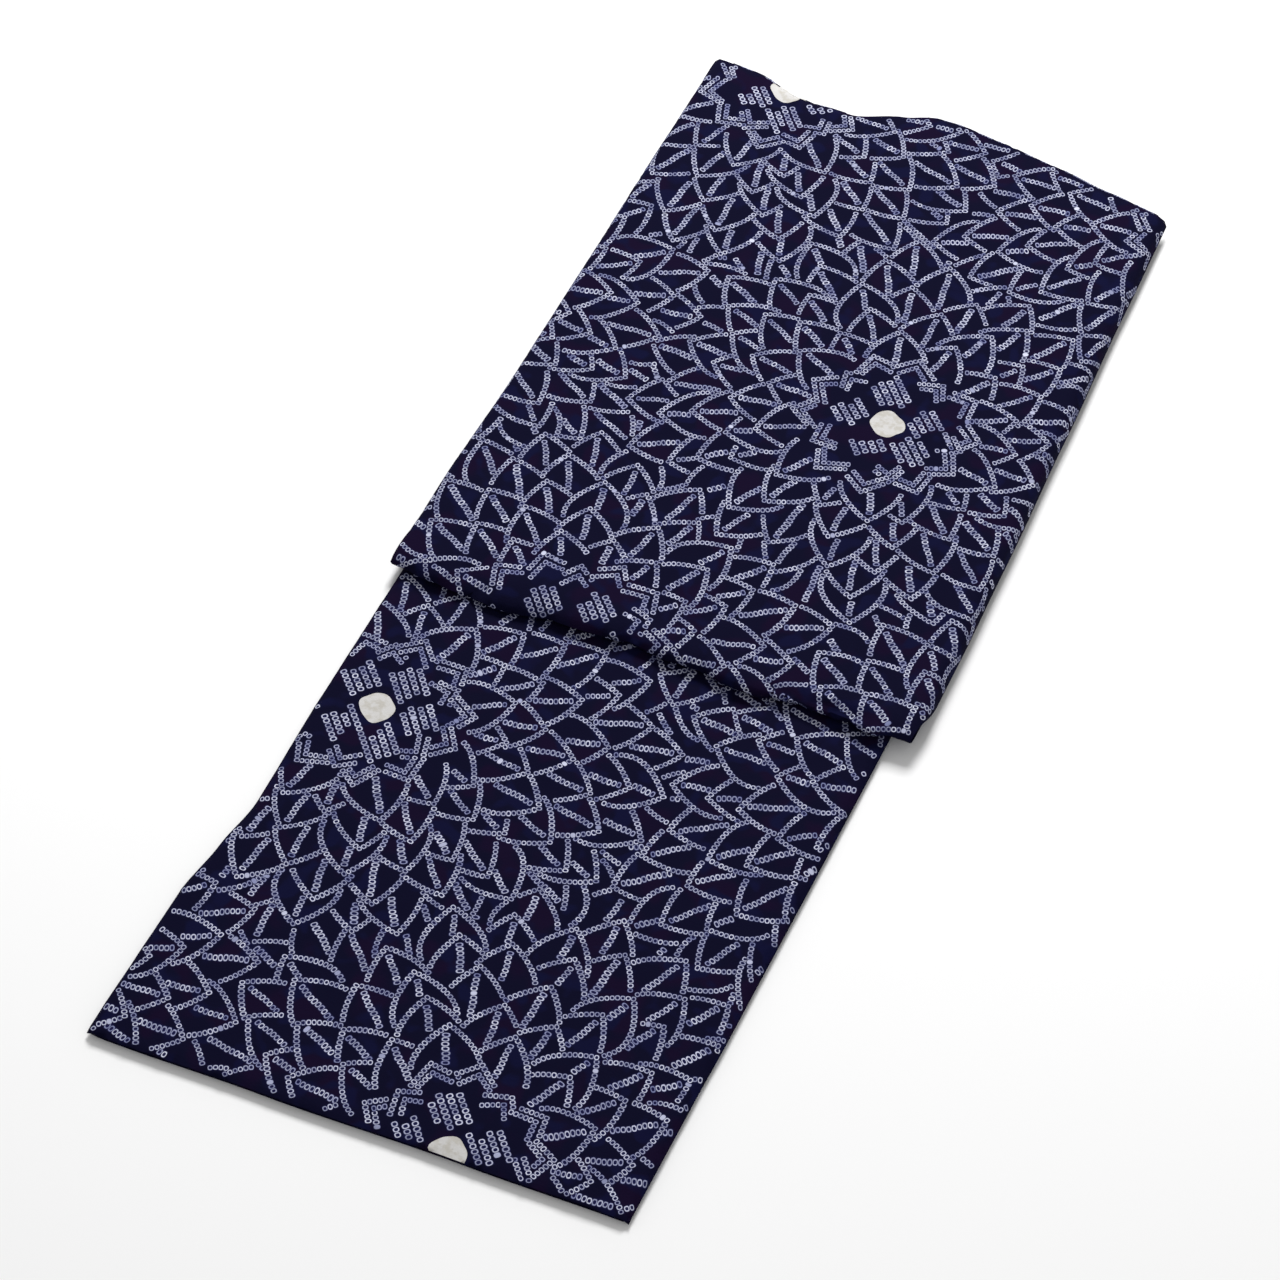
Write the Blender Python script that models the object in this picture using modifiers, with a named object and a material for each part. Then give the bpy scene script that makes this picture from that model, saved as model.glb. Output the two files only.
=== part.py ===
"""A cotton yukata robe, folded for the drawer and laid flat.

The robe was folded along its centre back seam, so the two back panels face out, and
then turned over once across its length, so the shoulder end lies on the hem end.
What shows is the left back panel at the hem, the right sleeve that covers the turned
part, and the right back panel that the bundle rests on. The fronts, overlap panels,
collar and left sleeve are the layers between them.

Lengths are in metres. While it is shaped, x runs across the robe and y runs from the
hem line towards the far fold. The whole is then moved so that its origin is the middle
of the rectangle that it covers on the table.
"""

import math
from collections import namedtuple

import bmesh
import bpy

# Cloth and stack heights
CLOTH = 0.0012          # thickness of every cloth wall
SEAM_GAP = 0.0003       # clearance between neighbouring pieces
LAYER_GAP = 0.0005      # clearance between layers that wave together
LOWER_TOP = 0.0066      # top of the hem part above the table
UPPER_TOP = 0.0176      # top of the turned shoulder part
SEAM_HEIGHT = 0.0032    # height of the centre back seam along the right side
SEAM_RIM = 0.0005       # distance of each back panel's outer edge from that height
PANEL_EDGE_DROP = 0.0010  # how far the left back panel's open side edge droops
HEM_DROP = 0.0008       # how far its hem lies below the rest
SLEEVE_DROP_LEFT = 0.0080   # how far the sleeve hangs down at its seam side
SLEEVE_DROP_RIGHT = 0.0110  # and at its free side
FAR_SLOPE = 0.0022      # fall of the turned part from the shoulder fold to the far fold
FAR_DROP = 0.0016       # its extra fall beside the far fold
FAR_EASE = 0.050        # stretch over which that fall sets in
HANG_AT_SHOULDER = 0.25 # share of the sleeve's hang at the shoulder fold
HANG_AT_FAR = 0.45      # and at the far fold
FOLD_FADE = 1.6         # how quickly a soft fold fades towards its rim
SOFT_BEND = 0.5         # how far a table is read in soft bends instead of straight lines

# Lengths along the robe
PANEL_TUCK = 0.440      # where the left back panel stops, under the shoulder fold
SLEEVE_TUCK = 0.042     # how far the sleeve returns below the shoulder fold
SLEEVE_SETBACK = 0.007  # distance of the sleeve's lower edge from the far fold
BACK_RETURN = 0.055     # how far the right back panel returns below the sleeve
FAR_ROUND = 0.010       # depth of the rounded far fold, seen from above
FAR_CLEARANCE = 0.0034  # how far the hidden layers stay inside the far fold
NOSE_CLEARANCE = 0.0045 # how far they stay inside the shoulder fold
SLOT_DEPTH = 0.003      # room behind the tucked end of the left back panel
HEM_INSET = 0.0024      # how far the hidden hems stay behind the hem line
UNDER_INSET = 0.0008    # how far the right back panel's hem stays behind it
HEM_EASE = 0.030        # stretch over which the hem's fall fades
DROOP_EASE = 0.030      # stretch over which the sleeve's sides begin and end to hang
CURL_END = 0.78         # where the seam side of the right back panel starts to flatten
CURL_EASE = 0.06        # stretch over which it flattens
RETURN_EASE = 0.030     # stretch over which the layers sink below the back panel's end
RETURN_ROOM = 0.016     # room in front of that end

# Widths across the robe
SEAM_ROUND = 0.0042     # width of the round along the centre back seam
PANEL_ROUND = 0.0040    # width of the round at the left back panel's open side
SLEEVE_ROUND_LEFT = 0.0055   # widths of the sleeve's rounded sides
SLEEVE_ROUND_RIGHT = 0.0075
UNDER_ROUND = 0.0020    # width of the side columns at the right back panel's open side
UNDER_SIDE_INSET = 0.0012    # how far that side stays inside the panel above
LAYER_INSET_LEFT = 0.0022    # how far the hidden layers stay inside the panels' sides
LAYER_INSET_RIGHT = 0.0050
LAYER_EDGE_FALL = 0.0008     # how far the layers thin out at their sides
LIP_DEPTH = 0.0014      # how far the edges of the hidden layers stand out
SHARED_HALF = 0.150     # the layers share their columns up to here on each side
EDGE_PLACE = 0.160      # where the side columns read the tables

# Grid fineness: steps round an edge, across the robe and along each part of a wall
ROUND_STEPS = 3
ACROSS_STEPS = 16
PANEL_STEPS = 18
UNDER_STEPS = 20
FAR_TURN_STEPS = 8
RETURN_STEPS = 4
TUCK_STEPS = 2
NOSE_UNDER_STEPS = 4
NOSE_OVER_STEPS = 6
SLEEVE_STEPS = 22
LAYER_HEM_STEPS = 13
LAYER_NOSE_STEPS = 6
LAYER_BODY_STEPS = 18
NOSE_CROWDING = 1.5     # how closely the layers' rows crowd behind the shoulder fold
SHARP_ANGLE = 40.0      # degrees from which an edge is shaded sharp

Edge = namedtuple("Edge", "along left right")
Cross = namedtuple("Cross", "across along")
Roll = namedtuple("Roll", "across along nose under over")
Fold = namedtuple("Fold", "across along heading length width rise")
Level = namedtuple("Level", "part share lip")

# Long edges of the hem part. It flares at the hem, where the overlap panels are widest.
HEM_PART_EDGES = (
    Edge(-0.014, -0.1710, 0.1598),
    Edge(0.040, -0.1704, 0.1600),
    Edge(0.096, -0.1698, 0.1603),
    Edge(0.130, -0.1650, 0.1609),
    Edge(0.166, -0.1599, 0.1609),
    Edge(0.250, -0.1622, 0.1612),
    Edge(0.360, -0.1628, 0.1612),
    Edge(0.600, -0.1616, 0.1604),
    Edge(0.871, -0.1612, 0.1560),
)

# Long edges of the shoulder part, where the sleeve is a little wider than the back
SLEEVE_EDGES = (
    Edge(0.350, -0.1690, 0.1745),
    Edge(0.372, -0.1692, 0.1760),
    Edge(0.390, -0.1696, 0.1786),
    Edge(0.440, -0.1704, 0.1780),
    Edge(0.520, -0.1688, 0.1758),
    Edge(0.634, -0.1699, 0.1716),
    Edge(0.750, -0.1716, 0.1670),
    Edge(0.871, -0.1722, 0.1633),
)

# The hem line, which runs a little askew
HEM_LINE = (
    Cross(-0.160, -0.0144),
    Cross(-0.060, -0.0092),
    Cross(0.060, -0.0026),
    Cross(0.160, 0.0022),
)

# The far fold, pulled in at one place and pushed out beside it
FAR_LINE = (
    Cross(-0.170, 0.8620),
    Cross(-0.139, 0.8598),
    Cross(-0.108, 0.8496),
    Cross(-0.064, 0.8488),
    Cross(-0.034, 0.8612),
    Cross(-0.012, 0.8698),
    Cross(0.004, 0.8706),
    Cross(0.034, 0.8668),
    Cross(0.078, 0.8602),
    Cross(0.120, 0.8524),
    Cross(0.165, 0.8452),
)

# The shoulder fold: its front line, the nose's share of its height, and the depths of
# its round under the nose and over it. A low nose with a long round over it lies soft
# on the hem part, and a high nose stands off it.
SHOULDER_FOLD = (
    Roll(-0.170, 0.3605, 0.52, 0.008, 0.010),
    Roll(-0.141, 0.3577, 0.48, 0.008, 0.012),
    Roll(-0.118, 0.3548, 0.36, 0.006, 0.019),
    Roll(-0.096, 0.3556, 0.26, 0.005, 0.026),
    Roll(-0.072, 0.3590, 0.30, 0.005, 0.023),
    Roll(-0.050, 0.3606, 0.45, 0.007, 0.015),
    Roll(-0.027, 0.3622, 0.55, 0.009, 0.012),
    Roll(-0.001, 0.3635, 0.42, 0.007, 0.015),
    Roll(0.026, 0.3625, 0.50, 0.008, 0.013),
    Roll(0.054, 0.3600, 0.56, 0.010, 0.012),
    Roll(0.079, 0.3590, 0.52, 0.009, 0.013),
    Roll(0.105, 0.3636, 0.66, 0.013, 0.013),
    Roll(0.131, 0.3625, 0.70, 0.015, 0.012),
    Roll(0.152, 0.3605, 0.64, 0.012, 0.011),
    Roll(0.165, 0.3676, 0.55, 0.010, 0.010),
    Roll(0.179, 0.3775, 0.50, 0.008, 0.009),
)

# Soft folds of the turned part. Heading is in degrees from x, rise is negative in a dip.
SLEEVE_FOLDS = (
    Fold(-0.112, 0.385, 62, 0.090, 0.016, -0.0016),
    Fold(-0.062, 0.400, 78, 0.120, 0.022, 0.0012),
    Fold(-0.002, 0.380, 96, 0.070, 0.012, -0.0014),
    Fold(0.026, 0.384, 84, 0.060, 0.010, -0.0010),
    Fold(0.080, 0.386, 104, 0.080, 0.013, -0.0015),
    Fold(0.118, 0.420, 90, 0.110, 0.024, 0.0012),
    Fold(0.020, 0.560, 72, 0.210, 0.034, -0.0010),
    Fold(-0.110, 0.640, 84, 0.200, 0.030, 0.0009),
    Fold(0.110, 0.690, 97, 0.190, 0.030, -0.0009),
    Fold(-0.098, 0.821, 80, 0.080, 0.026, -0.0018),
    Fold(-0.012, 0.828, 95, 0.080, 0.024, 0.0010),
    Fold(0.060, 0.809, 20, 0.120, 0.022, -0.0008),
)

# Soft folds of the hem part
HEM_FOLDS = (
    Fold(-0.120, 0.130, 58, 0.120, 0.020, -0.0007),
    Fold(-0.030, 0.200, 82, 0.260, 0.034, 0.0005),
    Fold(0.060, 0.240, 96, 0.220, 0.030, -0.0006),
    Fold(0.120, 0.100, 88, 0.160, 0.028, 0.0004),
    Fold(-0.090, 0.310, 70, 0.100, 0.018, -0.0006),
    Fold(0.020, 0.050, 12, 0.200, 0.024, -0.0004),
)

# Heights through the hidden layers. The lip is 0 at a layer's edge and 1 between layers.
LEVELS = (
    Level("lower", 0.00, 0.3),
    Level("lower", 0.25, 0.0),
    Level("lower", 0.50, 1.0),
    Level("lower", 0.78, 0.0),
    Level("lower", 1.00, 0.4),
    Level("upper", 0.00, 0.6),
    Level("upper", 0.12, 0.0),
    Level("upper", 0.24, 1.0),
    Level("upper", 0.37, 0.1),
    Level("upper", 0.50, 1.0),
    Level("upper", 0.63, 0.0),
    Level("upper", 0.76, 1.0),
    Level("upper", 0.89, 0.2),
    Level("upper", 1.00, 0.7),
)
SLOT_FLOOR = 4          # the level below the tucked cloth ends
SLOT_ROOF = 5           # the level above them

# Colours of the dyed cloth and of the layers inside, roughness and metallic value
NAVY = ((0.010, 0.010, 0.032), 0.86, 0.0)
NAVY_SLEEVE = ((0.013, 0.012, 0.038), 0.86, 0.0)
NAVY_UNDER = ((0.009, 0.009, 0.028), 0.88, 0.0)
INNER = ((0.030, 0.030, 0.075), 0.90, 0.0)


def smooth(value):
    """Ease from 0 to 1."""
    value = min(1.0, max(0.0, value))
    return value * value * (3.0 - 2.0 * value)


def read(table, key, column, at):
    """Read a column of a table at any place between its rows, with soft bends."""
    first, last = table[0], table[-1]
    if at <= getattr(first, key):
        return getattr(first, column)
    for low, high in zip(table, table[1:]):
        start, end = getattr(low, key), getattr(high, key)
        if at <= end:
            share = (at - start) / (end - start)
            share = (1.0 - SOFT_BEND) * share + SOFT_BEND * smooth(share)
            return getattr(low, column) * (1.0 - share) + getattr(high, column) * share
    return getattr(last, column)


def folded_height(folds, x, y):
    """Sum the soft folds at a point of the cloth."""
    total = 0.0
    for fold in folds:
        turn = math.radians(fold.heading)
        dx, dy = x - fold.across, y - fold.along
        run = dx * math.cos(turn) + dy * math.sin(turn)
        side = dy * math.cos(turn) - dx * math.sin(turn)
        reach = (run / (0.5 * fold.length)) ** 2 + (side / (0.5 * fold.width)) ** 2
        total += fold.rise * math.exp(-FOLD_FADE * reach)
    return total


def lower_top(x, y):
    """Height of the hem part's upper face."""
    hem_fade = smooth((y - read(HEM_LINE, "across", "along", x)) / HEM_EASE)
    return LOWER_TOP - HEM_DROP * (1.0 - hem_fade) + hem_fade * folded_height(HEM_FOLDS, x, y)


def upper_top(x, y):
    """Height of the turned part's upper face behind the shoulder fold's round."""
    far = read(FAR_LINE, "across", "along", x)
    slope = FAR_SLOPE * smooth((y - PANEL_TUCK) / (far - PANEL_TUCK))
    end_drop = FAR_DROP * smooth(1.0 + (y - far) / FAR_EASE)
    return UPPER_TOP - slope - end_drop + folded_height(SLEEVE_FOLDS, x, y)


def round_share(distance, depth):
    """Height share of a quarter round at a distance behind its nose."""
    inside = 1.0 - min(1.0, max(0.0, distance) / depth)
    return math.sqrt(1.0 - inside**2)


def shoulder_fold(x):
    """Front line, nose height and the two depths of the shoulder fold at a place."""
    front, share, under, over = (
        read(SHOULDER_FOLD, "across", column, x) for column in ("along", "nose", "under", "over")
    )
    low = LOWER_TOP + SEAM_GAP
    high = upper_top(x, front + over)
    return front, low + share * (high - low), under, over


def sleeve_over(x_read, x, y):
    """Height of the sleeve's outer face above the nose of the shoulder fold."""
    front, nose, under, over = shoulder_fold(x_read)
    if y >= front + over:
        return upper_top(x, y)
    return nose + (upper_top(x, front + over) - nose) * round_share(y - front, over)


def sleeve_under(x_read, y):
    """Height of the sleeve's outer face below the nose of the shoulder fold."""
    front, nose, under, over = shoulder_fold(x_read)
    low = LOWER_TOP + SEAM_GAP
    return nose - (nose - low) * round_share(y - front, under)


def material(name, look):
    """Make the plain material of one piece."""
    colour, roughness, metallic = look
    made = bpy.data.materials.new(name)
    made.use_nodes = True
    shader = made.node_tree.nodes["Principled BSDF"]
    shader.inputs["Base Color"].default_value = (*colour, 1.0)
    shader.inputs["Roughness"].default_value = roughness
    shader.inputs["Metallic"].default_value = metallic
    return made


def add_piece(name, mesh, look, collection, parent):
    """Put a mesh in the scene as one named piece."""
    piece = bpy.data.objects.new(name, mesh)
    collection.objects.link(piece)
    mesh.materials.append(material(name, look))
    mesh.shade_smooth()
    mesh.set_sharp_from_angle(angle=math.radians(SHARP_ANGLE))
    piece.parent = parent
    return piece


def across_columns():
    """List a wall's columns: a place across the robe, or an angle round an edge."""
    left = [("left", 1.0 - step / ROUND_STEPS) for step in range(ROUND_STEPS)]
    flat = [("flat", across) for across in shared_places()]
    right = [("right", step / ROUND_STEPS) for step in range(1, ROUND_STEPS + 1)]
    return left + [("left", 0.0)] + flat + [("right", 0.0)] + right


def shared_places():
    """Places across the robe where every layer has a column, so the layers stay parallel."""
    return [SHARED_HALF * (2.0 * step / ACROSS_STEPS - 1.0) for step in range(ACROSS_STEPS + 1)]


def middle_place(column):
    """Where a column reads the tables that run across the robe."""
    kind, value = column
    if kind == "flat":
        return value
    return EDGE_PLACE if kind == "right" else -EDGE_PLACE


def across_wall(column, left, right, left_round, right_round):
    """Place a column across a wall, with its share of the drop round the edge."""
    kind, value = column
    if kind == "flat":
        return value, 0.0
    turn = math.radians(90.0 * value)
    drop = 1.0 - math.cos(turn)
    if kind == "left":
        return left + left_round * (1.0 - math.sin(turn)), drop
    return right - right_round * (1.0 - math.sin(turn)), drop


def cloth_wall(name, columns, rows, place, look, collection, parent, flip=False):
    """Shape a grid by a rule and give it the cloth's thickness on its inner side."""
    mesh = bpy.data.meshes.new(name)
    work = bmesh.new()
    bmesh.ops.create_grid(work, x_segments=len(columns) - 1, y_segments=len(rows) - 1, size=0.5)
    for vert in work.verts:
        column = round((vert.co.x + 0.5) * (len(columns) - 1))
        row = round((vert.co.y + 0.5) * (len(rows) - 1))
        vert.co = place(columns[column], rows[row])
    if flip:
        bmesh.ops.reverse_faces(work, faces=work.faces)
    level = [f for f in work.faces if all(abs(v.co.z) < 1e-7 for v in f.verts)]
    if level:
        bmesh.ops.dissolve_faces(work, faces=level)
    work.to_mesh(mesh)
    work.free()
    piece = add_piece(name, mesh, look, collection, parent)
    wall = piece.modifiers.new("cloth", "SOLIDIFY")
    wall.thickness = CLOTH
    wall.offset = -1.0
    wall.use_even_offset = True
    return piece


def left_back_panel(collection, parent):
    """The hem part's upper face, folded down along the centre back seam."""
    rows = [step / PANEL_STEPS for step in range(PANEL_STEPS + 1)]

    def place(column, row):
        near = read(HEM_LINE, "across", "along", middle_place(column))
        y = near + row * (PANEL_TUCK - near)
        left = read(HEM_PART_EDGES, "along", "left", y)
        right = read(HEM_PART_EDGES, "along", "right", y)
        x, drop = across_wall(column, left, right, PANEL_ROUND, SEAM_ROUND)
        top = lower_top(x, y)
        edge = SEAM_HEIGHT + SEAM_RIM if column[0] == "right" else top - PANEL_EDGE_DROP
        return x, y, top + drop * (edge - top)

    return cloth_wall("left_back_panel", across_columns(), rows, place, NAVY, collection, parent)


def right_back_panel(collection, parent):
    """The face on the table. It turns up round the far fold and in below the sleeve."""
    rows = [("flat", step / UNDER_STEPS) for step in range(UNDER_STEPS + 1)]
    rows += [("turn", step / FAR_TURN_STEPS) for step in range(1, FAR_TURN_STEPS + 1)]
    rows += [("return", step / RETURN_STEPS) for step in range(1, RETURN_STEPS + 1)]

    def place(column, row):
        part, share = row
        near = read(HEM_LINE, "across", "along", middle_place(column)) + UNDER_INSET
        turn_start = read(FAR_LINE, "across", "along", middle_place(column)) - FAR_ROUND
        y = near + share * (turn_start - near) if part == "flat" else turn_start
        left = read(HEM_PART_EDGES, "along", "left", y) + UNDER_SIDE_INSET
        right = read(HEM_PART_EDGES, "along", "right", y)
        x, drop = across_wall(column, left, right, UNDER_ROUND, SEAM_ROUND)
        curl = 1.0 - smooth((y - CURL_END) / CURL_EASE) if column[0] == "right" else 0.0
        if part == "flat":
            return x, y, drop * curl * (SEAM_HEIGHT - SEAM_RIM)
        if part == "turn":
            top = upper_top(x, turn_start) - CLOTH - LAYER_GAP
            turn = math.radians(180.0 * share - 90.0)
            return x, turn_start + FAR_ROUND * math.cos(turn), 0.5 * top * (1.0 + math.sin(turn))
        y = turn_start - share * BACK_RETURN
        return x, y, upper_top(x, y) - CLOTH - LAYER_GAP

    return cloth_wall(
        "right_back_panel", across_columns(), rows, place, NAVY_UNDER, collection, parent, flip=True
    )


def right_sleeve(collection, parent):
    """The upper face of the turned part, wrapped round the shoulder fold."""
    rows = [("tuck", 1.0 - step / TUCK_STEPS) for step in range(TUCK_STEPS)]
    rows += [("under", 1.0 - step / NOSE_UNDER_STEPS) for step in range(NOSE_UNDER_STEPS)]
    rows += [("over", step / NOSE_OVER_STEPS) for step in range(NOSE_OVER_STEPS + 1)]
    rows += [("top", step / SLEEVE_STEPS) for step in range(1, SLEEVE_STEPS + 1)]

    def place(column, row):
        part, share = row
        x_read = middle_place(column)
        front, nose, under, over = shoulder_fold(x_read)
        far = read(FAR_LINE, "across", "along", x_read) - SLEEVE_SETBACK
        top_start = front + over
        y = top_start + share * (far - top_start) if part == "top" else top_start
        left = read(SLEEVE_EDGES, "along", "left", y)
        right = read(SLEEVE_EDGES, "along", "right", y)
        x, drop = across_wall(column, left, right, SLEEVE_ROUND_LEFT, SLEEVE_ROUND_RIGHT)
        drop *= SLEEVE_DROP_RIGHT if column[0] == "right" else SLEEVE_DROP_LEFT
        drop *= 1.0 - (1.0 - HANG_AT_FAR) * smooth(1.0 + (y - far) / DROOP_EASE)
        if part == "top":
            grown = (1.0 - HANG_AT_SHOULDER) * smooth((y - top_start) / DROOP_EASE)
            return x, y, upper_top(x, y) - drop * (HANG_AT_SHOULDER + grown)
        low = LOWER_TOP + SEAM_GAP
        if part == "tuck":
            return x, front + under + share * (SLEEVE_TUCK - under), low
        turn = math.radians(90.0 * share)
        if part == "under":
            return x, front + under * (1.0 - math.cos(turn)), nose - (nose - low) * math.sin(turn)
        high = upper_top(x, top_start) - HANG_AT_SHOULDER * drop
        return x, front + over * (1.0 - math.cos(turn)), nose + (high - nose) * math.sin(turn)

    return cloth_wall("right_sleeve", across_columns(), rows, place, NAVY_SLEEVE, collection, parent)


def level_height(level, floor, high):
    """Height of a level of the far end, between the cloth on the table and the top."""
    if level.part == "lower":
        return floor + level.share * (LOWER_TOP - CLOTH - SEAM_GAP - floor)
    low = LOWER_TOP + CLOTH + 2.0 * SEAM_GAP
    return low + level.share * (high - low)


def hidden_layers(collection, parent):
    """The folded layers inside, as one rounded solid with its edges in layers."""
    along = [("hem", step / LAYER_HEM_STEPS) for step in range(LAYER_HEM_STEPS)]
    nose_start = len(along)
    along += [
        ("nose", (step / LAYER_NOSE_STEPS) ** NOSE_CROWDING) for step in range(LAYER_NOSE_STEPS)
    ]
    slot_end = len(along)
    along += [("body", step / LAYER_BODY_STEPS) for step in range(LAYER_BODY_STEPS + 1)]
    last = len(along) - 1
    places = [-EDGE_PLACE] + shared_places() + [EDGE_PLACE]
    columns = len(places) - 1
    top_level = len(LEVELS) - 1
    floor = CLOTH + SEAM_GAP

    def far_line(x_read, level):
        """Far end of the layers, rounded as the far fold is."""
        turn_start = read(FAR_LINE, "across", "along", x_read) - FAR_ROUND
        crown = upper_top(x_read, turn_start) - 2.0 * (CLOTH + LAYER_GAP)
        middle = 0.5 * (floor + crown)
        rise = min(1.0, abs(level_height(level, floor, crown) - middle) / (middle - floor))
        return turn_start + (FAR_ROUND - FAR_CLEARANCE) * math.sqrt(1.0 - rise**2)

    def place(i, j, k):
        level = LEVELS[k]
        part, share = along[j]
        x_read = places[i]
        near = read(HEM_LINE, "across", "along", x_read) + HEM_INSET + LIP_DEPTH * level.lip
        nose = read(SHOULDER_FOLD, "across", "along", x_read) + NOSE_CLEARANCE
        slot_back = PANEL_TUCK + SLOT_DEPTH
        spans = {
            "hem": (near, nose),
            "nose": (nose, slot_back),
            "body": (slot_back, far_line(x_read, level)),
        }
        start, end = spans[part]
        y = start + share * (end - start)
        lip = LIP_DEPTH * level.lip
        left = read(HEM_PART_EDGES, "along", "left", y) + LAYER_INSET_LEFT + lip
        right = read(HEM_PART_EDGES, "along", "right", y) - LAYER_INSET_RIGHT - lip
        x = left if i == 0 else right if i == columns else x_read
        fall = LAYER_EDGE_FALL if i in (0, columns) else 0.0
        if level.part == "lower":
            top = LOWER_TOP if j >= nose_start else lower_top(x, y)
            return x, y, floor + level.share * (top - CLOTH - LAYER_GAP - fall - floor)
        turn_start = read(FAR_LINE, "across", "along", x_read) - FAR_ROUND
        return_start = turn_start - BACK_RETURN - RETURN_ROOM
        below_return = smooth(1.0 + (y - return_start) / RETURN_EASE)
        high = sleeve_over(x_read, x, y) - (CLOTH + LAYER_GAP) * (1.0 + below_return)
        low = sleeve_under(x_read, y) + CLOTH + LAYER_GAP
        return x, y, low + level.share * (high - fall - low)

    def filled(i, j, k):
        if not (0 <= i < columns and 0 <= j < last and 0 <= k < top_level):
            return False
        if k < SLOT_FLOOR:
            return True
        if k < SLOT_ROOF:
            return j >= slot_end
        return j >= nose_start

    sides = (
        ((-1, 0, 0), ((0, 0, 0), (0, 0, 1), (0, 1, 1), (0, 1, 0))),
        ((1, 0, 0), ((1, 0, 0), (1, 1, 0), (1, 1, 1), (1, 0, 1))),
        ((0, -1, 0), ((0, 0, 0), (1, 0, 0), (1, 0, 1), (0, 0, 1))),
        ((0, 1, 0), ((0, 1, 0), (0, 1, 1), (1, 1, 1), (1, 1, 0))),
        ((0, 0, -1), ((0, 0, 0), (0, 1, 0), (1, 1, 0), (1, 0, 0))),
        ((0, 0, 1), ((0, 0, 1), (1, 0, 1), (1, 1, 1), (0, 1, 1))),
    )
    work = bmesh.new()
    corner = {}
    for i in range(columns):
        for j in range(last):
            for k in range(top_level):
                if not filled(i, j, k):
                    continue
                for step, corners in sides:
                    if filled(i + step[0], j + step[1], k + step[2]):
                        continue
                    keys = [(i + a, j + b, k + c) for a, b, c in corners]
                    for key in keys:
                        if key not in corner:
                            corner[key] = work.verts.new(place(*key))
                    work.faces.new([corner[key] for key in keys])
    mesh = bpy.data.meshes.new("hidden_layers")
    work.to_mesh(mesh)
    work.free()
    return add_piece("hidden_layers", mesh, INNER, collection, parent)


def clear_scene():
    """Remove what a new Blender file holds."""
    for old in list(bpy.data.objects):
        bpy.data.objects.remove(old, do_unlink=True)


def main():
    """Build the folded robe and centre it on the table."""
    clear_scene()
    collection = bpy.data.collections.new("folded_yukata")
    bpy.context.scene.collection.children.link(collection)
    bundle = bpy.data.objects.new("bundle", None)
    collection.objects.link(bundle)
    left = min(row.left for row in SLEEVE_EDGES + HEM_PART_EDGES)
    right = max(row.right for row in SLEEVE_EDGES)
    near = min(row.along for row in HEM_LINE)
    far = max(row.along for row in FAR_LINE)
    bundle.location = (-0.5 * (left + right), -0.5 * (near + far), 0.0)
    right_back_panel(collection, bundle)
    hidden_layers(collection, bundle)
    left_back_panel(collection, bundle)
    right_sleeve(collection, bundle)


main()
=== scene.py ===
# %% [markdown]
# # A cotton yukata, folded for the drawer
#
# The object is a summer robe of plain cotton. It is folded along its centre back seam,
# turned over once across its length, and laid flat. Three pieces of cloth show: the left
# back panel at the hem, the right sleeve over the turned part, and the right back panel
# below. The other parts of the robe are the layers between them.
#
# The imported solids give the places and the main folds. This script lays thin cloth on the
# same forms, adds the smaller creases, and dyes the cloth with its tied pattern.

# %%
import math
import random

import bpy
import numpy as np
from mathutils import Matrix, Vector
from mathutils.geometry import delaunay_2d_cdt


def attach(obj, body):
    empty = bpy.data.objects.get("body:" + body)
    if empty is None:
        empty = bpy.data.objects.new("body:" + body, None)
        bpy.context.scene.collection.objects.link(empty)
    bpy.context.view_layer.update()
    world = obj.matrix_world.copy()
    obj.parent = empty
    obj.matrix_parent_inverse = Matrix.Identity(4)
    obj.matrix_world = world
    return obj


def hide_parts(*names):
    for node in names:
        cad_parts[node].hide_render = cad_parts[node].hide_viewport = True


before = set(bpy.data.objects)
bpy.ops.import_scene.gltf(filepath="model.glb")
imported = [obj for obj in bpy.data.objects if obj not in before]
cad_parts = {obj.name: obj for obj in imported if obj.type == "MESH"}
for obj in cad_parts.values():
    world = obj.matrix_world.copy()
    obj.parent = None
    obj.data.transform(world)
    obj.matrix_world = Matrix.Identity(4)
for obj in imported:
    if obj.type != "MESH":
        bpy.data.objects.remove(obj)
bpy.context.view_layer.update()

# %% [markdown]
# ## Sizes
#
# All lengths are in metres. While the cloth is shaped, x runs across the robe and y runs
# from the hem line to the far fold. The short tables below are the outlines and folds of
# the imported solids. They could be measured back from the solids, but a table is read at
# any point, so the fine cloth follows the same rule as the coarse walls.

# %%
SHEET = 0.0006          # thickness of the thin cloth
WALL = 0.0012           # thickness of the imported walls
SEAM_GAP = 0.0003
LAYER_GAP = 0.0005
LOWER_TOP = 0.0066      # top of the hem part
UPPER_TOP = 0.0176      # top of the turned part
SEAM_HEIGHT = 0.0032    # height of the centre back seam along the right side
SEAM_RIM = 0.0005
SEAM_DROP = LOWER_TOP - SEAM_HEIGHT - SEAM_RIM
HEM_DROP = 0.0008
PANEL_DROP = 0.0022     # hang of the left back panel at its open side
SLEEVE_DROP_LEFT = 0.0080
SLEEVE_DROP_RIGHT = 0.0110
FAR_SLOPE = 0.0022
FAR_DROP = 0.0016
FAR_EASE = 0.050
HANG_AT_SHOULDER = 0.25
HANG_AT_FAR = 0.45
HANG_GROWS = 0.374      # the sleeve's sides hang lower from here
HANG_ENDS = 0.849
PANEL_TUCK = 0.440      # end of the left back panel, below the shoulder fold
UNDER_INSET = 0.0008    # how far the lowest cloth lies inside the hem
UNDER_LEFT = 0.0012     # and inside the open side
UNDER_ROUND = 0.0020
UNDER_RISE = 0.0010
RISE_EASE = 0.02
SLEEVE_TUCK = 0.042
SLEEVE_SETBACK = 0.007
BACK_RETURN = 0.055
FAR_ROUND = 0.010
FAR_CLEARANCE = 0.0034
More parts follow.
